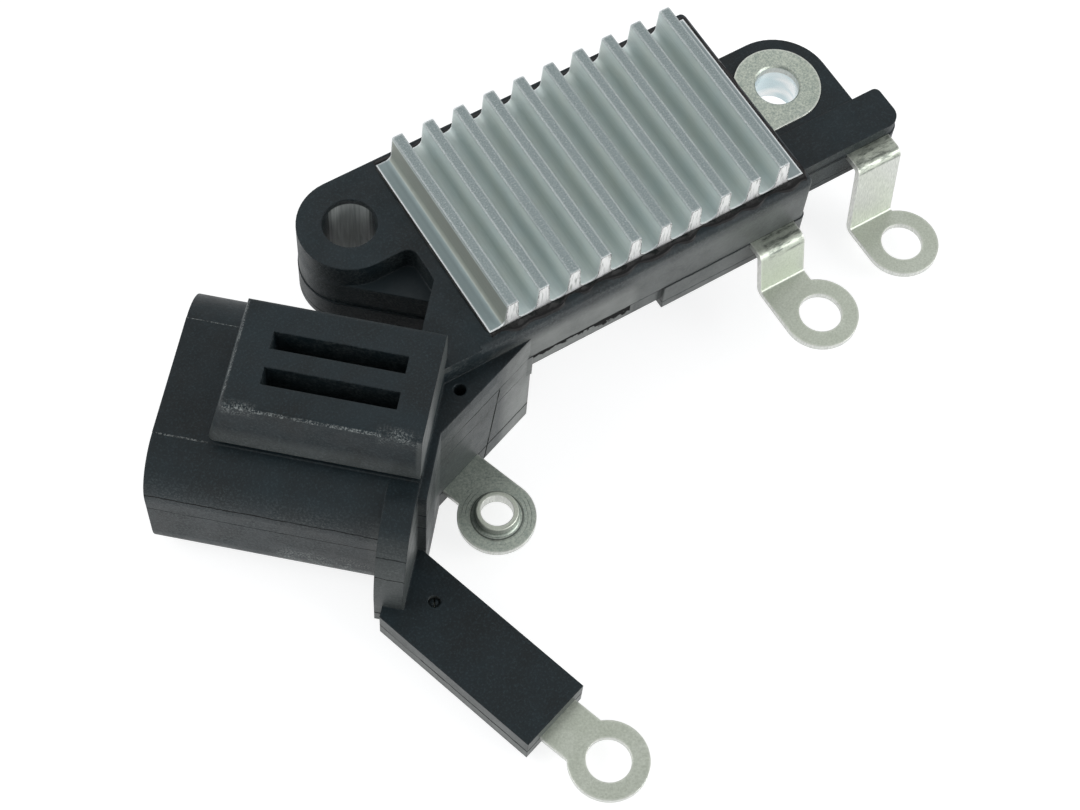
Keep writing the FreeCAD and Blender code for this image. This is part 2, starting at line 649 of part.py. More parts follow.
def socket():
    wall = SHROUD_WALL
    section = rectangle(shroud_far_y + wall, shroud_near_y - wall, SHROUD_BOTTOM + wall, SHROUD_TOP - wall)
    face = rounded_face([(y, z, SHROUD_RADIUS - wall) for y, z in section])
    solid = face.extrude(UP * (SOCKET_DEPTH + OVERLAP))
    solid.rotate(V(0, 0, 0), V(1, 1, 1), 120)
    solid.translate(V(socket_floor_x, 0, 0))
    return solid


def flange():
    """Plate behind the shroud; its near side swells out in a quarter ellipse to the lower arm."""
    start_y = FLANGE_NEAR_Y - FLANGE_ROUND_WIDTH
    low = SHROUD_TOP - FLANGE_ROUND_HEIGHT
    start = V(start_y, SHROUD_TOP, 0)
    end = V(FLANGE_NEAR_Y, low, 0)
    quarter = Part.ArcOfEllipse(Part.Ellipse(start, end, V(start_y, low, 0)), 0, math.pi / 2).toShape()
    points = [end, V(FLANGE_NEAR_Y, ARM_BOTTOM, 0), V(FLANGE_NEAR_Y - FLANGE_FOOT, ARM_BOTTOM, 0),
              V(DEEP_END_Y, SHROUD_BOTTOM, 0), V(shroud_far_y, SHROUD_BOTTOM, 0),
              V(shroud_far_y, SHROUD_TOP, 0), start]
    edges = [quarter] + [Part.makeLine(a, b) for a, b in zip(points, points[1:])]
    solid = Part.Face(Part.Wire(edges)).extrude(UP * (FLANGE_BACK_X - FLANGE_FACE_X))
    solid.rotate(V(0, 0, 0), V(1, 1, 1), 120)
    solid.translate(V(FLANGE_FACE_X, 0, 0))
    return joined(solid, flange_end(FLANGE_FACE_X))


def flange_end(start_x):
    """The flange's far end, which runs past the shroud to the left ear's web."""
    return box(start_x, FLANGE_BACK_X, web_face_y - OVERLAP, BLOCK_FAR_Y + OVERLAP, FRAME_BOTTOM, 0.0)


def raised_block():
    """Block that widens down to a lip on its near side and towards the mouth, on a smaller foot."""
    def outline(mouth_x, near_y, z):
        corners = [(FLANGE_FACE_X, BLOCK_FAR_Y, 0), (mouth_x, BLOCK_FAR_Y, 0),
                   (mouth_x, near_y, BLOCK_CORNER), (FLANGE_FACE_X, near_y, 0)]
        return rounded_face(corners, z).OuterWire

    lip_x = BLOCK_BACK_X + BLOCK_MOUTH_LIP
    lip_y = BLOCK_NEAR_Y + BLOCK_LIP
    lip = outline(lip_x, lip_y, BLOCK_LIP_Z)
    top = outline(BLOCK_BACK_X, BLOCK_NEAR_Y, BLOCK_TOP)
    block = Part.makeLoft([lip, top], True, True)
    top_edges = [edge for edge in block.Edges
                 if edge.BoundBox.ZMin > BLOCK_TOP - 0.01 and edge.BoundBox.XMax > FLANGE_FACE_X + 0.01]
    block = block.makeFillet(BLOCK_EDGE, top_edges)
    foot = box(FLANGE_FACE_X, lip_x - BLOCK_LIP_UNDERCUT, BLOCK_FAR_Y, lip_y - BLOCK_LIP_UNDERCUT,
               SHROUD_TOP - OVERLAP, BLOCK_LIP_Z)
    return joined(block, foot)


def slots():
    cuts = []
    for y in blade_ys:
        cuts.append(box(SLOT_START_X, SLOT_START_X + SLOT_LENGTH, y - SLOT_WIDTH / 2, y + SLOT_WIDTH / 2,
                        BLOCK_TOP - SLOT_DEPTH, BLOCK_TOP + OVERLAP))
    return cuts


def chamber(extents, bottom, top, grow=0.0):
    x0, x1, y0, y1 = extents
    corners = [(x, y, CHAMBER_CORNER) for x, y in rectangle(x0 - grow, x1 + grow, y0 - grow, y1 + grow)]
    return prism(corners, bottom, top)


def ground_window():
    """Opening in the chamber's ledge that bares the end of the ground plate's strip."""
    return box(chamber_right, chamber_right + WINDOW_LENGTH, ground_plate_near + WINDOW_MARGIN,
               ground_plate_near + GROUND_STRIP_WIDTH - WINDOW_MARGIN, lead_bottom, ground_plate_bottom)


def flange_meets_frame():
    """How far along the flange its face meets the frame's near wall."""
    along = towards(CONNECTOR_ANGLE)
    return (-NEAR_WALL - FLANGE_FACE_X * along.y) / along.x


def housing(cut_by):
    connector = joined(shroud(), flange(), raised_block())
    connector = connector.cut(Part.makeCompound([socket()] + slots()))
    fill = from_connector(flange_end(FLANGE_FACE_X - OVERLAP / 2))
    bridge = prism([(-LEFT_WALL, -NEAR_WALL, 0), connector_point(FLANGE_FACE_X, flange_meets_frame()) + (0,),
                    connector_point(FLANGE_BACK_X, web_face_y - OVERLAP) + (0,), (-LEFT_WALL, BRIDGE_Y, 0)],
                   FRAME_BOTTOM, 0.0)
    body = joined(frame_block(), left_ear(), right_ear(), deep_section(), lower_arm(),
                  from_connector(connector), bridge, fill)
    cuts = [sink_seat(1.0), chamber(upper_chamber, FRAME_BOTTOM - 1, 0.0), ground_window(),
            chamber(lower_chamber, FRAME_BOTTOM - 1, lead_bottom),
            chamber(lower_chamber, FRAME_BOTTOM - 1, cover_top, COVER_LEDGE),
            disc(LEFT_BOSS_X, left_boss_y, LEFT_BORE_RADIUS, FRAME_BOTTOM - 1, 1.0),
            disc(DECK_PIN[0], DECK_PIN[1], PIN_RADIUS, DECK_Z - DECK_PIN_DEPTH, DECK_Z + 1),
            disc(ARM_PIN[0], ARM_PIN[1], PIN_RADIUS, DEEP_LEAD_Z, ARM_TOP + 1),
            disc(ground_bore_x, GROUND_BORE_Y, GROUND_BORE_RADIUS + BUSH_WALL, RIGHT_EAR_BOTTOM - 1, 0)]
    for cutter in cuts + cut_by:
        body = body.cut(cutter)
    return body.removeSplitter()


# Circuit
def hung(x, y, length, width, height, face):
    """Piece glued under a face that looks down, from its near left corner."""
    return box(x, x + length, y, y + width, face - height, face)


def chips(size, count, pitch, x, y):
    return Part.makeCompound([hung(x + i * pitch, y, *size, substrate_face) for i in range(count)])


def wire(start, end):
    """Bond ribbon: an arc that sags between a pad on the substrate and a pad of a terminal."""
    a = V(start[0], start[1], substrate_face)
    b = V(end[0], end[1], end[2])
    middle = (a + b) * 0.5
    middle.z = min(a.z, b.z) - WIRE_SAG
    arc = Part.Arc(a, middle, b).toShape()
    across = arc.Curve.Axis * (WIRE_WIDTH / 2)
    out = (a - arc.Curve.Center).normalize() * (WIRE_THICKNESS / 2)
    corners = [a + across + out, a - across + out, a - across - out, a + across - out]
    ribbon_end = Part.Face(Part.makePolygon(corners + corners[:1]))
    degrees = math.degrees(arc.LastParameter - arc.FirstParameter)
    return ribbon_end.revolve(arc.Curve.Center, arc.Curve.Axis, degrees)


def bond_wires():
    """One wire to each track's pad, then to the ground strip and to the two ring terminals."""
    wires = []
    for i in range(4):
        pad_y = track(i, [(lane_x(i), 0.0)])[1]
        start = (substrate_left + WIRE_INSET, substrate_near + WIRE_FIRST + i * WIRE_PITCH)
        wires.append(wire(start, (track_end_x - WIRE_PAD_INSET, pad_y, lead_bottom)))
    right = substrate_right - WIRE_INSET
    pad_x = chamber_right + WIRE_PAD_INSET
    strip_y = ground_plate_near + GROUND_STRIP_WIDTH / 2
    bar_y = bar_far_y - BAR_TRACK_INSET - BAR_TRACK_WIDTH / 2
    wires.append(wire((right, strip_y), (pad_x, strip_y, ground_plate_bottom)))
    wires.append(wire((right, substrate_near + WIRE_PITCH), (pad_x, bar_y, lead_bottom)))
    pad = (lower_strap_left + LOWER_PAD_WIDTH / 2, CHAMBER_NEAR - LEDGE_NEAR / 2, lead_bottom)
    wires.append(wire((right - 2 * WIRE_INSET, substrate_near + WIRE_INSET), pad))
    return wires


def export(name, shape):
    moved = shape.copy()
    moved.translate(V(-ground_bore_x, -GROUND_BORE_Y, -RIGHT_EAR_BOTTOM))
    moved.exportStep("parts/" + name + ".step")
    print(name, len(moved.Solids), round(moved.Volume, 1), moved.isValid())


os.makedirs("parts", exist_ok=True)

nodes = {
    "heat_sink": heat_sink(),
    "heat_sink_adhesive": heat_sink_adhesive(),
    "upper_ring_terminal": upper_ring_terminal(),
    "lower_ring_terminal": lower_ring_terminal(),
    "flanged_terminal": flanged_terminal(),
    "arm_terminal": arm_terminal(),
    "near_blade_terminal": blade_terminal(1, 2),
    "far_blade_terminal": blade_terminal(0, 3),
    "ground_plate": ground_plate(),
    "ear_bush": ear_bush(),
}
terminals = [nodes[name] for name in ("upper_ring_terminal", "lower_ring_terminal", "flanged_terminal",
                                      "arm_terminal", "near_blade_terminal", "far_blade_terminal",
                                      "ground_plate")]
nodes["housing"] = housing(terminals)
nodes["base_cover"] = chamber(lower_chamber, FRAME_BOTTOM, cover_top, COVER_LEDGE - COVER_GAP)
nodes["ceramic_substrate"] = box(substrate_left, substrate_right, substrate_near, substrate_far,
                                 substrate_face, chamber_roof)
nodes["heat_spreader"] = hung(spreader_left, spreader_near, SPREADER_LENGTH, SPREADER_WIDTH,
                              SPREADER_THICKNESS, substrate_face)
die_x = spreader_left + (SPREADER_LENGTH - TRANSISTOR_SIDE) / 2
transistor_y = spreader_near + SPREADER_WIDTH - TRANSISTOR_INSET - TRANSISTOR_SIDE
nodes["power_transistor"] = hung(die_x, transistor_y, TRANSISTOR_SIDE, TRANSISTOR_SIDE,
                                 DIE_THICKNESS, spreader_face)
nodes["flyback_diode"] = hung(die_x, spreader_near + TRANSISTOR_INSET, DIODE_LENGTH, DIODE_WIDTH,
                              DIE_THICKNESS, spreader_face)
nodes["control_chip"] = hung(substrate_left + CONTROL_CHIP_LEFT, substrate_near + CONTROL_CHIP_NEAR,
                             CONTROL_CHIP_LENGTH, CONTROL_CHIP_WIDTH, CONTROL_CHIP_HEIGHT, substrate_face)
nodes["chip_capacitors"] = chips(CAPACITOR_SIZE, CAPACITOR_COUNT, CAPACITOR_PITCH,
                                 substrate_left + CAPACITOR_LEFT, substrate_far - CAPACITOR_FAR)
nodes["chip_resistors"] = chips(RESISTOR_SIZE, RESISTOR_COUNT, RESISTOR_PITCH,
                                substrate_left + RESISTOR_LEFT, substrate_near + RESISTOR_NEAR)
carriers = Part.makeCompound(terminals + [nodes["ceramic_substrate"]])
nodes["bond_wires"] = Part.makeCompound([one.cut(carriers) for one in bond_wires()])
gel = joined(chamber(upper_chamber, GEL_TOP, chamber_roof), ground_window(),
             chamber(lower_chamber, GEL_TOP, lead_bottom))
circuit = ["ceramic_substrate", "heat_spreader", "power_transistor", "flyback_diode", "control_chip",
           "chip_capacitors", "chip_resistors", "bond_wires"]
for solid in terminals + [nodes[name] for name in circuit]:
    gel = gel.cut(solid)
nodes["silicone_gel"] = gel

for name, shape in nodes.items():
    export(name, shape)
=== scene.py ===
import math
import random

import bmesh
import bpy
from mathutils import Matrix, Vector


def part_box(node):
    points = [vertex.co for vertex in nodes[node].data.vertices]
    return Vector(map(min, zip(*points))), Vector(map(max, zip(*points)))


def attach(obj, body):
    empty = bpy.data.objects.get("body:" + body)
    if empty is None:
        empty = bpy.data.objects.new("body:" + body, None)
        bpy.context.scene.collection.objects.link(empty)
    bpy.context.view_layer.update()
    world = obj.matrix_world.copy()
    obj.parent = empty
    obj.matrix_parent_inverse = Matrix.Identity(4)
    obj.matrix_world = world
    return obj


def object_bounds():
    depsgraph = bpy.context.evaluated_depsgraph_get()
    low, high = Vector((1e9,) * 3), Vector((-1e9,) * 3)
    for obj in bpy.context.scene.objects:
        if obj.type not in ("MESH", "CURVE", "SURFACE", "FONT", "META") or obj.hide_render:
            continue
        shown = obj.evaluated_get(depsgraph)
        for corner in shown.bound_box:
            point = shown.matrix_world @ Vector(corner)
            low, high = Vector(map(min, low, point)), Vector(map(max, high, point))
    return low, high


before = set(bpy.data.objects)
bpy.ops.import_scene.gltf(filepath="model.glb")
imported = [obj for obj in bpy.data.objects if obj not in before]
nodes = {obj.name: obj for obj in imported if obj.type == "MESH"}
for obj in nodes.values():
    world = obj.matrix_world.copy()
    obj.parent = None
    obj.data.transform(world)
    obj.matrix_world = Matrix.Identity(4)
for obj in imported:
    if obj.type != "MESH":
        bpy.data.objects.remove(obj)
cad_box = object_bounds()


# Camera
# A long lens close over the near left corner, as in the photograph. Its place and its directions
# were solved from the heat sink's straight fins and edges.
camera_place = Vector((-0.120711, -0.116900, 0.232035))
camera_right = Vector((0.85060, -0.52330, 0.05085))
camera_up = Vector((0.44595, 0.76930, 0.45754))
camera_data = bpy.data.cameras.new("camera")
camera_data.sensor_width = 36.0
camera_data.lens = 72.94
camera_data.clip_start = 0.01
camera = bpy.data.objects.new("camera", camera_data)
bpy.context.scene.collection.objects.link(camera)
axes = Matrix((camera_right, camera_up, camera_right.cross(camera_up))).transposed()
camera.matrix_world = Matrix.Translation(camera_place) @ axes.to_4x4()
bpy.context.scene.camera = camera
bpy.context.scene.view_settings.view_transform = "Standard"


# Floor and light
# A white sheet under the part and a plain white room. The sheet is lifted to white for the eye
# and for reflections only, so it throws no more light on the part and keeps a soft shadow.
def linear(hex_colour):
    """The linear colour that a shader takes, from an sRGB hex value."""
    shares = [int(hex_colour[i:i + 2], 16) / 255 for i in (1, 3, 5)]
    return [c / 12.92 if c <= 0.04045 else ((c + 0.055) / 1.055) ** 2.4 for c in shares] + [1.0]


def add(tree, kind, feeds=None, **settings):
    """Adds one node, sets it, and links or sets its inputs by name or number.

    Inputs go by number where their names repeat: a map range takes its value at 0, the range it
    has at 1 and 2 and the range it gets at 3 and 4, and a colour mix has its two colours at 6 and 7.
    """
    made = tree.nodes.new(kind)
    for name, value in settings.items():
        setattr(made, name, value)
    for name, value in (feeds or {}).items():
        if isinstance(value, bpy.types.NodeSocket):
            tree.links.new(value, made.inputs[name])
        else:
            made.inputs[name].default_value = value
    return made


def new_material(name):
    """An empty material and its node tree."""
    made = bpy.data.materials.new(name)
    made.use_nodes = True
    made.node_tree.nodes.clear()
    return made, made.node_tree


def where_any(tree, *masks):
    """The highest of the masks."""
    whole = masks[0]
    for mask in masks[1:]:
        whole = add(tree, "ShaderNodeMath", {0: whole, 1: mask}, operation="MAXIMUM").outputs[0]
    return whole


def seen(tree):
    """1 for rays that the eye or a reflection sends out, and 0 for those that gather light."""
    ray = add(tree, "ShaderNodeLightPath").outputs
    return where_any(tree, ray["Is Camera Ray"], ray["Is Glossy Ray"], ray["Is Transmission Ray"])


# Paper, with a grain of 3.3 mm, 900 times over its 3 m, because the real one is too fine to show
sheet, tree = new_material("white_paper_sheet")
grain = add(tree, "ShaderNodeTexNoise", {"Scale": 900.0, "Detail": 3.0})
tone = add(tree, "ShaderNodeMix", {0: grain.outputs[0], 6: linear("#dcdcdc"), 7: linear("#e6e6e6")},
           data_type="RGBA")
paper = add(tree, "ShaderNodeBsdfDiffuse", {"Color": tone.outputs[2]})
shade = add(tree, "ShaderNodeBsdfDiffuse", {"Color": linear("#aaaaaa")})
lift = add(tree, "ShaderNodeEmission", {"Color": linear("#ffffff"), "Strength": 0.79})
lifted = add(tree, "ShaderNodeAddShader", {0: shade.outputs[0], 1: lift.outputs[0]})
both = add(tree, "ShaderNodeMixShader", {0: seen(tree), 1: paper.outputs[0], 2: lifted.outputs[0]})
add(tree, "ShaderNodeOutputMaterial", {"Surface": both.outputs[0]})

middle = (cad_box[0] + cad_box[1]) / 2
half_side = 1.5
air_gap = 0.0001
floor_z = cad_box[0].z - air_gap
corners = [(middle.x + sx * half_side, middle.y + sy * half_side, floor_z)
           for sx, sy in ((-1, -1), (1, -1), (1, 1), (-1, 1))]
floor_mesh = bpy.data.meshes.new("floor")
floor_mesh.from_pydata(corners, [], [(0, 1, 2, 3)])
floor_mesh.materials.append(sheet)
floor = bpy.data.objects.new("floor", floor_mesh)
bpy.context.scene.collection.objects.link(floor)

# White walls and a grey ceiling, which the flat metal faces mirror
world = bpy.data.worlds.new("white_room")
world.use_nodes = True
world.node_tree.nodes.clear()
tree = world.node_tree
way = add(tree, "ShaderNodeTexCoord").outputs["Generated"]
height = add(tree, "ShaderNodeSeparateXYZ", {0: way})
ceiling = add(tree, "ShaderNodeMapRange", {0: height.outputs[2], 1: 0.3, 2: 0.8, 3: 1.0, 4: 0.52})
room = add(tree, "ShaderNodeBackground", {"Color": linear("#f2f7fb"), "Strength": 0.50})
white = add(tree, "ShaderNodeBackground", {"Color": linear("#ffffff"), "Strength": ceiling.outputs[0]})
both = add(tree, "ShaderNodeMixShader", {0: seen(tree), 1: room.outputs[0], 2: white.outputs[0]})
add(tree, "ShaderNodeOutputWorld", {"Surface": both.outputs[0]})
bpy.context.scene.world = world

# Three round soft lamps, placed from the part's middle
for name, place, width, power in (("left", (-0.46, 0.20, 0.36), 0.45, 1.2),
                                  ("far", (0.16, 0.34, 0.50), 0.40, 0.3),
                                  ("right", (0.38, -0.40, 0.28), 0.45, 1.8)):
    lamp = bpy.data.lights.new(name, "AREA")
    lamp.shape = "DISK"
    lamp.size = width
    lamp.energy = power
    holder = bpy.data.objects.new(name, lamp)
    bpy.context.scene.collection.objects.link(holder)
    holder.location = middle + Vector(place)
    holder.rotation_euler = (-Vector(place)).to_track_quat("-Z", "Y").to_euler()


# Housing and base cover
# Glass-filled PBT, moulded in a spark-eroded mould. That gives a near-black blue-green skin with a
# fine dull grain, more filler on walls where it slid along the mould, black lines where the mould
# parts, and bare filler where the raised block's near edge is scuffed. Its upright walls carry a
# painted reflection of the white sheet, and the left bore and the pocket floor carry painted light.
def where_all(tree, *masks):
    """The product of the masks, which is 1 only where all of them are."""
    whole = masks[0]
    for mask in masks[1:]:
        whole = add(tree, "ShaderNodeMath", {0: whole, 1: mask}, operation="MULTIPLY").outputs[0]
    return whole


def zone(tree, place, low, high, soft):
    """1 inside a box of the part, and falling to 0 over the soft distance outside it."""
    axes = add(tree, "ShaderNodeSeparateXYZ", {0: place})
    shares = []
    for axis in range(3):
        for bound, way in ((low[axis], -1), (high[axis], 1)):
            if bound is not None:
                share = add(tree, "ShaderNodeMapRange", {0: axes.outputs[axis], 1: bound,
                                                         2: bound + way * soft, 3: 1.0, 4: 0.0})
                shares.append(share.outputs[0])
    return where_all(tree, *shares)


def close_to(tree, value, middle, full, none):
    """1 up to the full distance from the middle, and falling to 0 at the distance none."""
    away = add(tree, "ShaderNodeMath", {0: value, 1: middle}, operation="SUBTRACT").outputs[0]
    away = add(tree, "ShaderNodeMath", {0: away}, operation="ABSOLUTE").outputs[0]
    return add(tree, "ShaderNodeMapRange", {0: away, 1: full, 2: none, 3: 1.0, 4: 0.0}).outputs[0]


def dress(finish, *names):
    """Gives the frame's nodes of these names one material."""
    for name in names:
        nodes[name].data.materials.clear()
        nodes[name].data.materials.append(finish)


# Places are measured from the near left corner of the heat sink's face, at the foot of its fins,
# and on the connector also along it, with x towards its mouth and y towards its near side
sink_low, sink_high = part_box("heat_sink")
fin_height = 0.0042
sink_shift = Vector((-sink_low.x, -sink_low.y, fin_height - sink_high.z))
connector_turn = math.radians(138)
connector_shift = Matrix.Rotation(-connector_turn, 3, "Z") @ sink_shift

plastic, tree = new_material("moulded_glass_filled_pbt")
place = add(tree, "ShaderNodeTexCoord").outputs["Object"]
normal = add(tree, "ShaderNodeNewGeometry").outputs["True Normal"]
from_sink = add(tree, "ShaderNodeMapping", {0: place, "Location": sink_shift}).outputs[0]
on_connector = add(tree, "ShaderNodeMapping", {0: place, "Location": connector_shift,
                                               "Rotation": (0.0, 0.0, -connector_turn)}).outputs[0]
# Mould edges are rounded by 0.25 mm
rounded = add(tree, "ShaderNodeBevel", {"Radius": 0.00025}, samples=6)
# A noise's scale is 1000 over the size of its patches in millimetres. The real grain is finer than
# these 0.28 and 0.22 mm, and is drawn as coarse as it needs to show.
clouds = add(tree, "ShaderNodeTexNoise", {"Vector": place, "Scale": 1000 / 7.0, "Detail": 4.0,
                                          "Roughness": 0.6}).outputs[0]
patches = add(tree, "ShaderNodeTexNoise", {"Vector": place, "Scale": 1000 / 2.2, "Detail": 5.0,
                                           "Roughness": 0.7}).outputs[0]
grain = add(tree, "ShaderNodeTexNoise", {"Vector": place, "Scale": 1000 / 0.28, "Detail": 3.0,
                                         "Roughness": 0.7}).outputs[0]
specks = add(tree, "ShaderNodeTexNoise", {"Vector": place, "Scale": 1000 / 0.22, "Detail": 3.0,
                                          "Roughness": 0.7}).outputs[0]
tone = add(tree, "ShaderNodeMapRange", {0: clouds, 1: 0.35, 2: 0.65, 3: 0.0, 4: 1.0}).outputs[0]
skin = add(tree, "ShaderNodeMix", {0: tone, 6: linear("#0b1417"), 7: linear("#132025")},
           data_type="RGBA").outputs[2]
dust = add(tree, "ShaderNodeMapRange", {0: grain, 1: 0.50, 2: 0.72, 3: 0.0, 4: 0.55}).outputs[0]
skin = add(tree, "ShaderNodeMix", {0: dust, 6: skin, 7: linear("#2b393e")}, data_type="RGBA").outputs[2]
# The pocket's floor beside the left boss is painted greyer: some dust, and painted light against its shade
pocket_dust_and_painted_light = zone(tree, from_sink, (-0.0140, 0.0015, -0.0040), (-0.0010, 0.0180, -0.0032), 0.0002)
skin = add(tree, "ShaderNodeMix", {0: pocket_dust_and_painted_light, 6: skin, 7: linear("#1b2529")}, data_type="RGBA").outputs[2]
# Upright faces are drawn along the mould and show more of the filler, in patches of 2.2 mm, but
# the block's near face shows little
facing = add(tree, "ShaderNodeSeparateXYZ", {0: normal})
tilt = add(tree, "ShaderNodeMath", {0: facing.outputs[2]}, operation="ABSOLUTE").outputs[0]
upright = add(tree, "ShaderNodeMapRange", {0: tilt, 1: 0.75, 2: 0.25, 3: 0.0, 4: 1.0}).outputs[0]
filler = add(tree, "ShaderNodeMapRange", {0: grain, 1: 0.44, 2: 0.68, 3: 0.0, 4: 1.0}).outputs[0]
bared = add(tree, "ShaderNodeMapRange", {0: patches, 1: 0.36, 2: 0.62, 3: 0.12, 4: 1.0}).outputs[0]
dark_face = zone(tree, on_connector, (0.0030, 0.0172, 0.0004), (0.0300, 0.0200, 0.0056), 0.0012)
kept = add(tree, "ShaderNodeMapRange", {0: dark_face, 1: 0.0, 2: 1.0, 3: 1.0, 4: 0.30}).outputs[0]
filler = where_all(tree, filler, bared, kept, upright)
colour = add(tree, "ShaderNodeMix", {0: filler, 6: skin, 7: linear("#464b4b")}, data_type="RGBA").outputs[2]
# Upright walls are painted paler in clouds: a painted reflection of the white sheet, and on the deep
# wall and the arm's sides partly a lighter scuffed skin
pale_scuff_and_painted_sheen = []
for where, low, high, soft, share in (
        # The frame's near wall, palest low down on its left
        (from_sink, (0.0010, -0.0018, -0.0240), (0.0190, -0.0004, -0.0045), 0.0025, 0.70),
        (from_sink, (0.0200, -0.0018, -0.0240), (0.0440, -0.0004, -0.0030), 0.0030, 0.34),
        # The deep wall and the frame's left wall
        (from_sink, (-0.0125, -0.0090, -0.0240), (0.0052, -0.0026, -0.0060), 0.0006, 0.14),
        (from_sink, (-0.0022, -0.0010, -0.0080), (-0.0016, 0.0060, -0.0010), 0.0005, 0.10),
        # The arm's sides, palest below their parting line
        (from_sink, (-0.0400, -0.0600, -0.0226), (0.0010, -0.0120, -0.0180), 0.0004, 0.30),
        (from_sink, (-0.0400, -0.0600, -0.0216), (0.0010, -0.0120, -0.0205), 0.0003, 0.42),
        # The block's front, the flange and the lip below the block's near face
        (on_connector, (0.0036, 0.0035, -0.0010), (0.0046, 0.0195, 0.0060), 0.0003, 0.20),
        (on_connector, (0.0038, 0.0185, -0.0240), (0.0078, 0.0290, -0.0060), 0.0015, 0.22),
        (on_connector, (0.0044, 0.0176, -0.0017), (0.0300, 0.0196, -0.0002), 0.0016, 0.16)):
    pale_scuff_and_painted_sheen.append(where_all(tree, zone(tree, where, low, high, soft), share))
cloudy = add(tree, "ShaderNodeMapRange", {0: clouds, 1: 0.3, 2: 0.6, 3: 0.55, 4: 1.0}).outputs[0]
pale_scuff_and_painted_sheen = where_all(tree, where_any(tree, *pale_scuff_and_painted_sheen), upright, cloudy)
colour = add(tree, "ShaderNodeMix", {0: pale_scuff_and_painted_sheen, 6: colour, 7: linear("#8b8e8a")}, data_type="RGBA").outputs[2]
# Scuffs, in bits of bare filler with missed spots between them
scuffs = []
for low, high, soft, share in (
        # The block's near top edge and that edge's two ends
        ((0.0045, 0.0179, 0.0051), (0.0272, 0.0183, 0.0058), 0.00012, 0.65),
        ((0.0235, 0.0177, 0.0046), (0.0272, 0.0188, 0.0058), 0.00080, 0.42),
        ((0.0045, 0.0176, 0.0044), (0.0085, 0.0188, 0.0058), 0.00100, 0.48),
        # Its top edge towards the mouth
        ((0.0267, 0.0045, 0.0052), (0.0270, 0.0184, 0.0058), 0.0001, 0.45),
        # Two lines along the shroud's top, and low on the shroud's near side
        ((0.0286, 0.00350, -0.0040), (0.0352, 0.00362, -0.0028), 0.00004, 0.60),
        ((0.0286, 0.01870, -0.0040), (0.0352, 0.01882, -0.0028), 0.00004, 0.60),
        ((0.0100, 0.0230, -0.0205), (0.0190, 0.0260, -0.0165), 0.0020, 0.55)):
    scuffs.append(where_all(tree, zone(tree, on_connector, low, high, soft), share))
bits = add(tree, "ShaderNodeMapRange", {0: specks, 1: 0.45, 2: 0.60, 3: 0.0, 4: 1.0}).outputs[0]
missed = add(tree, "ShaderNodeMapRange", {0: patches, 1: 0.42, 2: 0.54, 3: 0.10, 4: 1.0}).outputs[0]
scuffed = where_all(tree, where_any(tree, *scuffs), bits, missed)
colour = add(tree, "ShaderNodeMix", {0: scuffed, 6: colour, 7: linear("#a3a8a6")},
             data_type="RGBA").outputs[2]
# Where the mould parts, wavering black lines run 8, 11.3 and 20.2 mm below the heat sink's face
# round the frame, the connector and the arm
level = add(tree, "ShaderNodeSeparateXYZ", {0: from_sink})
waver = add(tree, "ShaderNodeMapRange", {0: patches, 1: 0.2, 2: 0.8, 3: -0.0002, 4: 0.0002}).outputs[0]
wavering = add(tree, "ShaderNodeMath", {0: level.outputs[2], 1: waver}, operation="ADD").outputs[0]
lines = []
for parting, breadth in ((-0.0080, 0.00006), (-0.0113, 0.00004), (-0.0202, 0.00010)):
    lines.append(close_to(tree, wavering, parting, breadth, 2 * breadth))
# On the deep wall one runs down aslant, in a plane with this normal at this distance
slant_normal = (-0.944, -0.3287, 0.146)
slant_distance = 0.05609
slant = add(tree, "ShaderNodeVectorMath", {0: place, 1: slant_normal}, operation="DOT_PRODUCT")
slant = close_to(tree, slant.outputs["Value"], slant_distance, 0.00010, 0.00016)
deep_wall = zone(tree, from_sink, (-0.0125, -0.0090, -0.0234), (0.0055, -0.0012, -0.0083), 0.0001)
lines.append(where_all(tree, slant, deep_wall))
broken = add(tree, "ShaderNodeMapRange", {0: clouds, 1: 0.40, 2: 0.48, 3: 0.2, 4: 1.0}).outputs[0]
line = where_all(tree, where_any(tree, *lines), broken)
# A torn black band is painted over the recess below the frame's near wall, hanging from its top and
# reaching deeper to the right
depth = add(tree, "ShaderNodeMapRange", {0: level.outputs[0], 1: 0.0050, 2: 0.0195, 3: 0.25, 4: 1.0})
torn = add(tree, "ShaderNodeMapRange", {0: patches, 1: 0.40, 2: 0.60, 3: 0.0002, 4: 0.0021}).outputs[0]
torn_black_band = add(tree, "ShaderNodeMath", {0: where_all(tree, depth.outputs[0], torn), 1: level.outputs[2]},
            operation="ADD")
torn_black_band = add(tree, "ShaderNodeMapRange", {0: torn_black_band.outputs[0], 1: -0.00945, 2: -0.00935, 3: 0.0, 4: 1.0})
recess = zone(tree, from_sink, (0.0053, -0.0013, -0.0113), (0.0195, -0.0004, -0.0080), 0.0001)
line = where_any(tree, line, where_all(tree, torn_black_band.outputs[0], recess))
line = where_all(tree, line, upright)
colour = add(tree, "ShaderNodeMix", {0: line, 6: colour, 7: linear("#040505")}, data_type="RGBA").outputs[2]
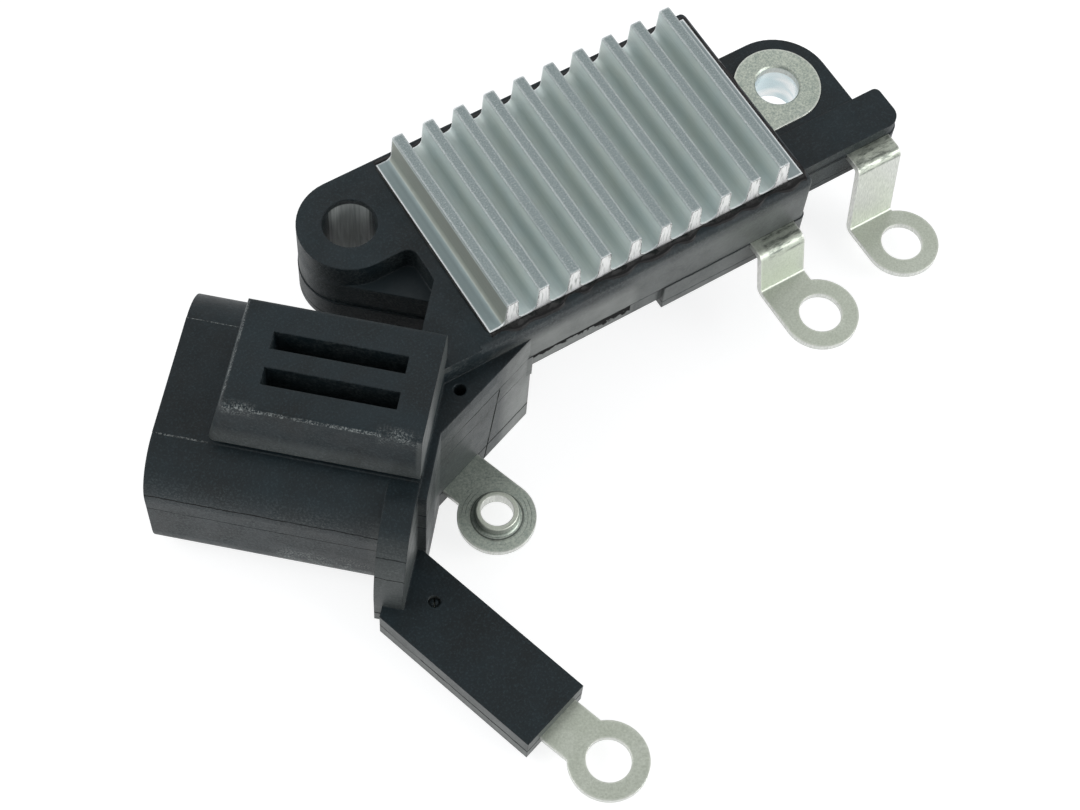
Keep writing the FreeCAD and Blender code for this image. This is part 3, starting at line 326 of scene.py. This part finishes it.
# The left bore was drawn off its core pin, which streaked it from top to bottom. Its far wall, facing
# the near side, is painted pale as painted light, with the streaks in it
bore = zone(tree, from_sink, (-0.0102, 0.0173, -0.0130), (-0.0032, 0.0244, -0.0010), 0.0002)
to_near_side = (-0.45, -0.89, 0.0)
painted_light_far_wall = add(tree, "ShaderNodeVectorMath", {0: normal, 1: to_near_side}, operation="DOT_PRODUCT")
painted_light_far_wall = add(tree, "ShaderNodeMapRange", {0: painted_light_far_wall.outputs["Value"], 1: 0.60, 2: 0.86, 3: 0.0, 4: 1.0})
drawn = add(tree, "ShaderNodeMapping", {0: place, "Scale": (1000 / 0.3, 1000 / 0.3, 1000 / 6.0)})
streaks = add(tree, "ShaderNodeTexNoise", {"Vector": drawn.outputs[0], "Scale": 1.0, "Detail": 3.0})
streaks = add(tree, "ShaderNodeMapRange", {0: streaks.outputs[0], 1: 0.3, 2: 0.7, 3: 0.55, 4: 1.0})
painted_light_streaked = where_all(tree, bore, painted_light_far_wall.outputs[0], streaks.outputs[0])
colour = add(tree, "ShaderNodeMix", {0: painted_light_streaked, 6: colour, 7: linear("#c6cbc8")},
             data_type="RGBA").outputs[2]
# Satin in patches, smoother on the pale walls, and quite dull on the black lines
gloss = add(tree, "ShaderNodeMapRange", {0: patches, 1: 0.3, 2: 0.7, 3: 0.42, 4: 0.60}).outputs[0]
smooth_wall = add(tree, "ShaderNodeMapRange", {0: pale_scuff_and_painted_sheen, 1: 0.0, 2: 0.5, 3: 1.0, 4: 0.72}).outputs[0]
rough = add(tree, "ShaderNodeMix", {0: line, 2: where_all(tree, gloss, smooth_wall), 3: 1.0}).outputs[0]
relief = add(tree, "ShaderNodeBump", {"Strength": 0.5, "Distance": 0.00006, "Height": grain,
                                      "Normal": rounded.outputs[0]})
surface = add(tree, "ShaderNodeBsdfPrincipled", {"Base Color": colour, "Specular IOR Level": 0.32,
                                                 "Roughness": rough, "Normal": relief.outputs[0]})
add(tree, "ShaderNodeOutputMaterial", {"Surface": surface.outputs[0]})
dress(plastic, "housing", "base_cover")


# Button in the lower arm
# Two pins held the terminals in the mould and left a hole each. The arm's hole is filled nearly to
# the top with a turned button of the same plastic, which has a slit across it.
def smooth(mesh, degrees):
    """Smooth shading with hard edges from the given angle on."""
    mesh.polygons.foreach_set("use_smooth", [True] * len(mesh.polygons))
    mesh.set_sharp_from_angle(angle=math.radians(degrees))


def new_piece(name, work, finish):
    """A piece from a bmesh, with its finish, that rides on the part."""
    mesh = bpy.data.meshes.new(name)
    bmesh.ops.recalc_face_normals(work, faces=work.faces)
    work.to_mesh(mesh)
    work.free()
    smooth(mesh, 40)
    mesh.materials.append(finish)
    made = bpy.data.objects.new(name, mesh)
    bpy.context.scene.collection.objects.link(made)
    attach(made, "root")


pin_hole = Vector((-0.07036, -0.03462, 0))
button_top = -0.00565
button_foot = -0.0072
button_radius = 0.0006
button_rim = 0.00015
half_slit = 0.0001
slit_angle = math.radians(60)
# The rounded top and the side, from the middle outwards: distances from the axis, and heights
button_profile = ((button_radius * 0.6, button_top - button_rim * 0.2),
                  (button_radius - button_rim, button_top - button_rim * 0.7),
                  (button_radius, button_top - 2 * button_rim), (button_radius, button_foot))


def half_button(work, start_angle):
    """Half the button, from the start angle on, cut back from its middle line by half the slit."""
    steps = 16
    turns = [start_angle + math.pi * i / steps for i in range(steps + 1)]
    aside = start_angle + math.pi / 2
    axis = pin_hole + Vector((math.cos(aside), math.sin(aside), 0)) * half_slit
    top = work.verts.new(axis + Vector((0, 0, button_top)))
    rings = [[work.verts.new(axis + Vector((reach * math.cos(turn), reach * math.sin(turn), z)))
              for turn in turns] for reach, z in button_profile]
    for i in range(steps):
        work.faces.new((top, rings[0][i], rings[0][i + 1]))
    for inner, outer in zip(rings, rings[1:]):
        for i in range(steps):
            work.faces.new((inner[i], outer[i], outer[i + 1], inner[i + 1]))
    down_one_side = [ring[0] for ring in rings]
    up_the_other = [ring[-1] for ring in reversed(rings)]
    work.faces.new([top] + down_one_side + up_the_other)
    work.faces.new(rings[-1])


button = bmesh.new()
half_button(button, slit_angle)
half_button(button, slit_angle + math.pi)
new_piece("arm_pin_button", button, plastic)


# Heat sink
# Aluminium alloy, extruded along the fins and sawn to length. Extruding leaves fine lines along
# the fins and a satin skin, and the saw leaves nearly white ends with ragged, dark-lined edges.
aluminium, tree = new_material("extruded_aluminium")
place = add(tree, "ShaderNodeTexCoord").outputs["Object"]
normal = add(tree, "ShaderNodeNewGeometry").outputs["True Normal"]
from_sink = add(tree, "ShaderNodeMapping", {0: place, "Location": sink_shift}).outputs[0]
rounded = add(tree, "ShaderNodeBevel", {"Radius": 0.00012}, samples=6)
# Die lines run over 40 mm along the fins. Real ones are closer, and are drawn 0.3 mm apart to show.
drawn = add(tree, "ShaderNodeMapping", {0: place, "Scale": (1000 / 0.3, 1000 / 40, 1000 / 0.3)})
lines = add(tree, "ShaderNodeTexNoise", {"Vector": drawn.outputs[0], "Scale": 1.0, "Detail": 3.0}).outputs[0]
clouds = add(tree, "ShaderNodeTexNoise", {"Vector": place, "Scale": 1000 / 4.0, "Detail": 5.0,
                                          "Roughness": 0.6}).outputs[0]
specks = add(tree, "ShaderNodeTexNoise", {"Vector": place, "Scale": 1000 / 0.20, "Detail": 3.0,
                                          "Roughness": 0.75}).outputs[0]
facing = add(tree, "ShaderNodeSeparateXYZ", {0: normal})
along = add(tree, "ShaderNodeMath", {0: facing.outputs[1]}, operation="ABSOLUTE").outputs[0]
end = add(tree, "ShaderNodeMapRange", {0: along, 1: 0.80, 2: 0.95, 3: 0.0, 4: 1.0}).outputs[0]
# The grooves are painted a pale olive, as painted light against their shade, and the tops a darker
# blue-grey
level = add(tree, "ShaderNodeSeparateXYZ", {0: from_sink})
on_top = add(tree, "ShaderNodeMapRange", {0: level.outputs[2], 1: fin_height - 0.00035,
                                          2: fin_height - 0.00005, 3: 0.0, 4: 1.0}).outputs[0]
groove_painted_shading = add(tree, "ShaderNodeMix", {0: clouds, 6: linear("#d2dfe1"), 7: linear("#dce1d9")},
             data_type="RGBA").outputs[2]
top = add(tree, "ShaderNodeMapRange", {0: specks, 1: 0.30, 2: 0.70, 3: 0.0, 4: 1.0}).outputs[0]
top = add(tree, "ShaderNodeMix", {0: top, 6: linear("#7c8787"), 7: linear("#a5b0b0")},
          data_type="RGBA").outputs[2]
skin = add(tree, "ShaderNodeMix", {0: on_top, 6: groove_painted_shading, 7: top}, data_type="RGBA").outputs[2]
# The margins outside the fins are open to the light and get none of the grooves' painted light:
# blue-grey, then olive up the first fin's flank
for low, high, shade in ((-0.0010, 0.0016, "#97a5a6"), (0.0018, 0.0026, "#a3a89f"),
                         (0.0415, 0.0450, "#9aa5a6")):
    margin = zone(tree, from_sink, (low, None, None), (high, None, 0.0035), 0.0002)
    skin = add(tree, "ShaderNodeMix", {0: margin, 6: skin, 7: linear(shade)}, data_type="RGBA").outputs[2]
lined = add(tree, "ShaderNodeMix", {0: lines, 6: linear("#b8bcbc"), 7: linear("#ffffff")},
            data_type="RGBA").outputs[2]
skin = add(tree, "ShaderNodeMix", {0: 0.4, 6: skin, 7: lined}, data_type="RGBA",
           blend_type="MULTIPLY").outputs[2]
# Burnished edges 0.3 mm wide, strong on some fins and faint on others, and flecks on the tops
inside = add(tree, "ShaderNodeAmbientOcclusion", {"Distance": 0.0003}, inside=True, samples=6)
edge = add(tree, "ShaderNodeMapRange", {0: inside.outputs["AO"], 1: 0.90, 2: 0.6, 3: 0.0, 4: 1.0}).outputs[0]
by_fin = add(tree, "ShaderNodeMapping", {0: place, "Scale": (1000 / 5.0, 1000 / 30, 0.0)})
by_fin = add(tree, "ShaderNodeTexNoise", {"Vector": by_fin.outputs[0], "Scale": 1.0, "Detail": 1.0})
by_fin = add(tree, "ShaderNodeMapRange", {0: by_fin.outputs[0], 1: 0.36, 2: 0.54, 3: 0.5, 4: 1.0}).outputs[0]
worn = add(tree, "ShaderNodeMapRange", {0: specks, 1: 0.30, 2: 0.48, 3: 0.4, 4: 1.0}).outputs[0]
flecks = add(tree, "ShaderNodeMapRange", {0: specks, 1: 0.60, 2: 0.72, 3: 0.0, 4: 0.5}).outputs[0]
wear = [where_all(tree, edge, worn, by_fin), where_all(tree, flecks, on_top)]
# The near, left and right edges of the base are bright lines 0.12 to 0.18 mm wide. Its width and
# depth are rounded to the hundredths of a millimetre that the CAD is drawn in.
sink_width = round(sink_high.x - sink_low.x, 5)
sink_depth = round(sink_high.y - sink_low.y, 5)
for low, high in (((0.0, -0.0010, -0.0003), (sink_width, 0.00018, 0.0006)),
                  ((-0.0010, 0.0, -0.0003), (0.00012, sink_depth, 0.0006)),
                  ((sink_width - 0.00014, 0.0, -0.0003), (sink_width + 0.0010, sink_depth, 0.0006))):
    wear.append(where_all(tree, zone(tree, from_sink, low, high, 0.00005), worn))
wear = where_any(tree, *wear)
skin = add(tree, "ShaderNodeMix", {0: wear, 6: skin, 7: linear("#f2f5f5")}, data_type="RGBA").outputs[2]
# Saw marks: 0.3 mm apart across the ends, nearly upright, with a dark burr line round each fin
sawn = add(tree, "ShaderNodeMapping", {0: place, "Scale": (1000 / 0.3, 1.0, 1000 / 2.0),
                                       "Rotation": (0.0, 0.25, 0.0)})
marks = add(tree, "ShaderNodeTexNoise", {"Vector": sawn.outputs[0], "Scale": 1.0, "Detail": 4.0}).outputs[0]
streaks = add(tree, "ShaderNodeMapRange", {0: marks, 1: 0.30, 2: 0.50, 3: 0.0, 4: 1.0}).outputs[0]
cut = add(tree, "ShaderNodeMix", {0: streaks, 6: linear("#b4b6b2"), 7: linear("#fdfdfb")},
          data_type="RGBA").outputs[2]
burred = add(tree, "ShaderNodeMapRange", {0: specks, 1: 0.44, 2: 0.50, 3: 0.0, 4: 1.0}).outputs[0]
cut = add(tree, "ShaderNodeMix", {0: where_all(tree, edge, burred), 6: cut, 7: linear("#3c3d3b")},
          data_type="RGBA").outputs[2]
colour = add(tree, "ShaderNodeMix", {0: end, 6: skin, 7: cut}, data_type="RGBA").outputs[2]
# A nick in the fourth fin near its far end, 1.8 mm long, 0.3 mm wide and leaning by 25 degrees,
# painted black as the shade inside it
nick_painted_shade = add(tree, "ShaderNodeMapping", {0: from_sink, "Location": (-0.0159, -0.0258, -0.0028),
                                       "Rotation": (math.radians(-25), 0.0, 0.0)})
nick_painted_shade = add(tree, "ShaderNodeVectorMath", {0: nick_painted_shade.outputs[0], 1: (1000 / 0.9, 1000 / 0.14, 1000 / 0.9)},
           operation="MULTIPLY")
nick_painted_shade = add(tree, "ShaderNodeVectorMath", {0: nick_painted_shade.outputs[0]}, operation="LENGTH")
nick_painted_shade = add(tree, "ShaderNodeMapRange", {0: nick_painted_shade.outputs["Value"], 1: 0.8, 2: 1.1, 3: 1.0, 4: 0.0}).outputs[0]
colour = add(tree, "ShaderNodeMix", {0: nick_painted_shade, 6: colour, 7: linear("#0c0c0c")}, data_type="RGBA").outputs[2]
height = add(tree, "ShaderNodeMix", {0: end, 2: specks, 3: marks}).outputs[0]
relief = add(tree, "ShaderNodeBump", {"Strength": 0.6, "Distance": 0.00005, "Height": height,
                                      "Normal": rounded.outputs[0]})
rough = add(tree, "ShaderNodeMapRange", {0: clouds, 1: 0.3, 2: 0.7, 3: 0.48, 4: 0.60}).outputs[0]
surface = add(tree, "ShaderNodeBsdfPrincipled", {"Base Color": colour, "Metallic": 0.30, "Roughness": rough,
                                                 "Normal": relief.outputs[0]})
add(tree, "ShaderNodeOutputMaterial", {"Surface": surface.outputs[0]})
dress(aluminium, "heat_sink")


# Adhesive round the heat sink
# Black silicone, pressed out of the gap while soft. It cures glossy, with slow waves in its skin.
silicone, tree = new_material("cured_black_silicone")
place = add(tree, "ShaderNodeTexCoord").outputs["Object"]
ripples = add(tree, "ShaderNodeTexNoise", {"Vector": place, "Scale": 1000 / 1.5, "Detail": 2.0})
colour = add(tree, "ShaderNodeMix", {0: ripples.outputs[0], 6: linear("#070708"), 7: linear("#0e0e0f")},
             data_type="RGBA")
relief = add(tree, "ShaderNodeBump", {"Strength": 0.6, "Distance": 0.0002, "Height": ripples.outputs[0]})
surface = add(tree, "ShaderNodeBsdfPrincipled", {"Base Color": colour.outputs[2], "Roughness": 0.18,
                                                 "IOR": 1.41, "Normal": relief.outputs[0]})
add(tree, "ShaderNodeOutputMaterial", {"Surface": surface.outputs[0]})
dress(silicone, "heat_sink_adhesive")

# The bead that was pressed out: thick along the near edge and thin along the others. For each side
# come its start, its end, the way out and half the bead's width.
near_left = (0.0, 0.0)
near_right = (sink_width, 0.0)
far_right = (sink_width, sink_depth)
far_left = (0.0, sink_depth)
sides = ((near_left, near_right, (0.0, -1.0), 0.00050), (near_right, far_right, (1.0, 0.0), 0.00022),
         (far_right, far_left, (0.0, 1.0), 0.00026), (far_left, near_left, (-1.0, 0.0), 0.00014))
bead_step = 0.0004
bead_sides = 8
bead_flatness = 0.62
bead_sag = 0.00012
least_swell = 0.3
# Its lumps: seven waves of 2.4 to 25 mm, which swell it by 6 to 16 % each
lumps = random.Random(11)
waves = [(lumps.uniform(250, 2600), lumps.uniform(0, 6.28), lumps.uniform(0.06, 0.16)) for _ in range(7)]
bead = bmesh.new()
loops = []
run = 0.0
for (x0, y0), (x1, y1), (out_x, out_y), thickness in sides:
    length = math.hypot(x1 - x0, y1 - y0)
    steps = int(length / bead_step)
    for i in range(steps + 1):
        share = i / steps
        distance = run + share * length
        swell = 1.0 + sum(size * math.sin(rate * distance + start) for rate, start, size in waves)
        half = thickness * max(swell, least_swell)
        x = x0 + (x1 - x0) * share + out_x * half
        y = y0 + (y1 - y0) * share + out_y * half
        spot = Vector((x, y, -bead_sag)) - sink_shift
        loop = []
        for k in range(bead_sides):
            turn = 2 * math.pi * k / bead_sides
            sideways = half * math.cos(turn)
            rise = bead_flatness * half * math.sin(turn)
            loop.append(bead.verts.new(spot + Vector((out_x * sideways, out_y * sideways, rise))))
        loops.append(loop)
    run += length
for a, b in zip(loops, loops[1:] + loops[:1]):
    for k in range(bead_sides):
        after = (k + 1) % bead_sides
        bead.faces.new((a[k], a[after], b[after], b[k]))
new_piece("adhesive_bead", bead, silicone)


# Ring terminals and the ground plate
# Steel strip, zinc-nickel plated and stamped. The plating is a pale greenish grey with a fine
# mottle, bruised dark where the straps were folded, with bright cut edges and a painted highlight
# on the rims. The drawn terminal and the ground plate are darker, and the drawn one is scratched.
steel, tree = new_material("plated_stamped_steel")
place = add(tree, "ShaderNodeTexCoord").outputs["Object"]
normal = add(tree, "ShaderNodeNewGeometry").outputs["True Normal"]
from_sink = add(tree, "ShaderNodeMapping", {0: place, "Location": sink_shift}).outputs[0]
rounded = add(tree, "ShaderNodeBevel", {"Radius": 0.00015}, samples=6)
# The plating's mottle, drawn coarser than the real one so that it shows, and its stains
mottle = add(tree, "ShaderNodeTexNoise", {"Vector": place, "Scale": 1000 / 0.25, "Detail": 4.0,
                                          "Roughness": 0.7}).outputs[0]
stains = add(tree, "ShaderNodeTexNoise", {"Vector": place, "Scale": 1000 / 4.0, "Detail": 3.0}).outputs[0]
mottled = add(tree, "ShaderNodeMapRange", {0: mottle, 1: 0.3, 2: 0.7, 3: 0.0, 4: 1.0}).outputs[0]
skin = add(tree, "ShaderNodeMix", {0: mottled, 6: linear("#bac0b4"), 7: linear("#d9ded4")},
           data_type="RGBA").outputs[2]
stained = add(tree, "ShaderNodeMix", {0: stains, 6: linear("#d3d8cc"), 7: linear("#ffffff")},
              data_type="RGBA").outputs[2]
skin = add(tree, "ShaderNodeMix", {0: 0.6, 6: skin, 7: stained}, data_type="RGBA",
           blend_type="MULTIPLY").outputs[2]
# Folds: the strip's skin is crushed in short marks across the strap, at the leads' level
folds = zone(tree, from_sink, (0.0380, -0.0500, -0.0090), (0.0700, 0.0032, -0.0070), 0.0004)
crushed = add(tree, "ShaderNodeMapping", {0: place, "Scale": (1000 / 2.2, 1000 / 0.5, 1000 / 0.5)})
crushed = add(tree, "ShaderNodeTexNoise", {"Vector": crushed.outputs[0], "Scale": 1.0, "Detail": 4.0,
                                           "Roughness": 0.7})
crushed = add(tree, "ShaderNodeMapRange", {0: crushed.outputs[0], 1: 0.46, 2: 0.62, 3: 0.12, 4: 0.85})
bruised = where_all(tree, folds, crushed.outputs[0])
skin = add(tree, "ShaderNodeMix", {0: bruised, 6: skin, 7: linear("#5f655f")}, data_type="RGBA").outputs[2]
# The drawn terminal and the ground plate: darker, in fine blotches
for low, high, most, least in (((-0.0140, -0.0190, -0.0210), (0.0030, -0.0040, -0.0195), 0.60, 0.28),
                               ((0.0440, 0.0080, -0.0080), (0.0600, 0.0240, -0.0040), 0.66, 0.10)):
    blotches = add(tree, "ShaderNodeMapRange", {0: mottle, 1: 0.38, 2: 0.58, 3: most, 4: least}).outputs[0]
    dull = where_all(tree, zone(tree, from_sink, low, high, 0.0002), blotches)
    skin = add(tree, "ShaderNodeMix", {0: dull, 6: skin, 7: linear("#7a8986")}, data_type="RGBA").outputs[2]
# Wavering scratches round the drawn collar, 0.45 mm apart, and painted shade in the groove at its foot
collar_shift = (0.00595, 0.0127, 0.0)
collar_foot_radius = 0.00315
from_collar = add(tree, "ShaderNodeMapping", {0: from_sink, "Location": collar_shift,
                                              "Scale": (1.0, 1.0, 0.0)})
radius = add(tree, "ShaderNodeVectorMath", {0: from_collar.outputs[0]}, operation="LENGTH").outputs["Value"]
waver = add(tree, "ShaderNodeMath", {0: stains, 1: 9.0}, operation="MULTIPLY")
rings = add(tree, "ShaderNodeMath", {0: radius, 1: 2 * math.pi * 1000 / 0.45, 2: waver.outputs[0]},
            operation="MULTIPLY_ADD")
rings = add(tree, "ShaderNodeMath", {0: rings.outputs[0]}, operation="SINE").outputs[0]
rings = add(tree, "ShaderNodeMapRange", {0: rings, 1: 0.65, 2: 1.0, 3: 0.0, 4: 0.55}).outputs[0]
broken = add(tree, "ShaderNodeMapRange", {0: stains, 1: 0.48, 2: 0.60, 3: 0.1, 4: 1.0}).outputs[0]
near_collar = add(tree, "ShaderNodeMapRange", {0: radius, 1: 0.0050, 2: 0.0056, 3: 1.0, 4: 0.0}).outputs[0]
scratched = where_all(tree, rings, broken, near_collar)
skin = add(tree, "ShaderNodeMix", {0: scratched, 6: skin, 7: linear("#2e3230")}, data_type="RGBA").outputs[2]
groove_painted_shading = where_all(tree, close_to(tree, radius, collar_foot_radius, 0.00003, 0.00016), 0.8)
skin = add(tree, "ShaderNodeMix", {0: groove_painted_shading, 6: skin, 7: linear("#303432")}, data_type="RGBA").outputs[2]
# A painted highlight along the rims, 0.3 mm wide
inside = add(tree, "ShaderNodeAmbientOcclusion", {"Distance": 0.0003}, inside=True, samples=6)
rim_painted_highlight = add(tree, "ShaderNodeMapRange", {0: inside.outputs["AO"], 1: 0.90, 2: 0.6, 3: 0.0, 4: 0.5}).outputs[0]
skin = add(tree, "ShaderNodeMix", {0: rim_painted_highlight, 6: skin, 7: linear("#f3f5ee")}, data_type="RGBA").outputs[2]
# Cut edges, which are upright and sheared in lines 0.12 mm apart
shear = add(tree, "ShaderNodeMapping", {0: place, "Scale": (1000 / 0.12, 1000 / 0.12, 1000 / 1.0)})
sheared = add(tree, "ShaderNodeTexNoise", {"Vector": shear.outputs[0], "Scale": 1.0,
                                           "Detail": 2.0}).outputs[0]
cut = add(tree, "ShaderNodeMix", {0: sheared, 6: linear("#a8aba6"), 7: linear("#f4f5f0")},
          data_type="RGBA").outputs[2]
facing = add(tree, "ShaderNodeSeparateXYZ", {0: normal})
flat = add(tree, "ShaderNodeMath", {0: facing.outputs[2]}, operation="ABSOLUTE").outputs[0]
edge = add(tree, "ShaderNodeMapRange", {0: flat, 1: 0.25, 2: 0.10, 3: 0.0, 4: 1.0}).outputs[0]
colour = add(tree, "ShaderNodeMix", {0: edge, 6: skin, 7: cut}, data_type="RGBA").outputs[2]
height = add(tree, "ShaderNodeMix", {0: edge, 2: mottle, 3: sheared}).outputs[0]
relief = add(tree, "ShaderNodeBump", {"Strength": 0.35, "Distance": 0.00003, "Height": height,
                                      "Normal": rounded.outputs[0]})
rough = add(tree, "ShaderNodeMapRange", {0: mottle, 1: 0.3, 2: 0.7, 3: 0.34, 4: 0.48}).outputs[0]
surface = add(tree, "ShaderNodeBsdfPrincipled", {"Base Color": colour, "Metallic": 0.85, "Roughness": rough,
                                                 "Normal": relief.outputs[0]})
add(tree, "ShaderNodeOutputMaterial", {"Surface": surface.outputs[0]})
dress(steel, "upper_ring_terminal", "lower_ring_terminal", "flanged_terminal", "arm_terminal", "ground_plate")


# Bush in the right ear
# Bright free-cutting steel, reamed smooth and passivated. Pale blue and white bands round it are a
# painted reflection.
bright, tree = new_material("reamed_bright_steel")
place = add(tree, "ShaderNodeTexCoord").outputs["Object"]
along = add(tree, "ShaderNodeMapping", {0: place, "Scale": (1000 / 5.0, 1000 / 5.0, 1000 / 1.6)})
painted_reflection_bands = add(tree, "ShaderNodeTexNoise", {"Vector": along.outputs[0], "Scale": 1.0, "Detail": 1.0})
painted_reflection_bands = add(tree, "ShaderNodeMapRange", {0: painted_reflection_bands.outputs[0], 1: 0.4, 2: 0.6, 3: 0.0, 4: 1.0})
colour = add(tree, "ShaderNodeMix", {0: painted_reflection_bands.outputs[0], 6: linear("#d3e4e8"), 7: linear("#f6fafa")},
             data_type="RGBA")
surface = add(tree, "ShaderNodeBsdfPrincipled", {"Base Color": colour.outputs[2], "Metallic": 0.8,
                                                 "Roughness": 0.24})
add(tree, "ShaderNodeOutputMaterial", {"Surface": surface.outputs[0]})
dress(bright, "ear_bush")


# Blades of the socket
# Brass strip, stamped and tin plated. Tin is soft, so it shows fine rubs along the blades.
tinned, tree = new_material("tinned_brass")
place = add(tree, "ShaderNodeTexCoord").outputs["Object"]
along = add(tree, "ShaderNodeMapping", {0: place, "Rotation": (0.0, 0.0, -connector_turn),
                                        "Scale": (1000 / 9.0, 1000 / 0.15, 1000 / 0.15)})
rubs = add(tree, "ShaderNodeTexNoise", {"Vector": along.outputs[0], "Scale": 1.0, "Detail": 3.0})
colour = add(tree, "ShaderNodeMix", {0: rubs.outputs[0], 6: linear("#b6ae97"), 7: linear("#e1ddd0")},
             data_type="RGBA")
surface = add(tree, "ShaderNodeBsdfPrincipled", {"Base Color": colour.outputs[2], "Metallic": 1.0,
                                                 "Roughness": 0.33})
add(tree, "ShaderNodeOutputMaterial", {"Surface": surface.outputs[0]})
dress(tinned, "near_blade_terminal", "far_blade_terminal")


# Circuit in its chamber
# An alumina plate with printed tracks, a copper spreader under the power chips, a control chip,
# small ceramic parts and flat aluminium wires, all under clear silicone gel. A lid closes it.
def two_toned(name, patch, detail, dark, light, finish):
    """A material in two tones, in patches of a size in millimetres."""
    made, tree = new_material(name)
    place = add(tree, "ShaderNodeTexCoord").outputs["Object"]
    patches = add(tree, "ShaderNodeTexNoise", {"Vector": place, "Scale": 1000 / patch, "Detail": detail})
    colour = add(tree, "ShaderNodeMix", {0: patches.outputs[0], 6: linear(dark), 7: linear(light)},
                 data_type="RGBA")
    surface = add(tree, "ShaderNodeBsdfPrincipled", {"Base Color": colour.outputs[2], **finish})
    add(tree, "ShaderNodeOutputMaterial", {"Surface": surface.outputs[0]})
    return made


# Fired alumina is off-white and matt, and its printed tracks are 3 mm apart
alumina, tree = new_material("printed_alumina")
place = add(tree, "ShaderNodeTexCoord").outputs["Object"]
printed = add(tree, "ShaderNodeTexBrick", {"Vector": place, "Scale": 1000 / 3.0,
                                           "Color1": linear("#e9e7df"), "Color2": linear("#e2e0d8"),
                                           "Mortar": linear("#8a8478"), "Mortar Size": 0.06})
surface = add(tree, "ShaderNodeBsdfPrincipled", {"Base Color": printed.outputs[0], "Roughness": 0.6})
add(tree, "ShaderNodeOutputMaterial", {"Surface": surface.outputs[0]})
dress(alumina, "ceramic_substrate")

# Rolled copper, stained by the solder's heat
copper = two_toned("rolled_copper", 1.5, 4.0, "#b06a45", "#d9986f", {"Metallic": 1.0, "Roughness": 0.35})
dress(copper, "heat_spreader")

# Moulded epoxy, black with a fine filler, which the glaze of the small resistors looks like
epoxy = two_toned("black_moulded_epoxy", 0.1, 2.0, "#161617", "#242526", {"Roughness": 0.45})
dress(epoxy, "power_transistor", "flyback_diode", "control_chip", "chip_resistors")

# Fired titanate, which is brown and slightly grainy
titanate = two_toned("fired_titanate_ceramic", 0.2, 2.0, "#8f7a60", "#a8937a", {"Roughness": 0.5})
dress(titanate, "chip_capacitors")

# Drawn aluminium wire, bright and bare
wire = two_toned("drawn_aluminium_wire", 0.15, 2.0, "#c4c6c8", "#e6e8ea", {"Metallic": 1.0, "Roughness": 0.3})
dress(wire, "bond_wires")

# Clear silicone gel, poured and cured, with a faint haze
gel = two_toned("clear_silicone_gel", 4.0, 2.0, "#dfe6e2", "#f4f7f5",
                {"Roughness": 0.08, "IOR": 1.41, "Transmission Weight": 0.9})
dress(gel, "silicone_gel")
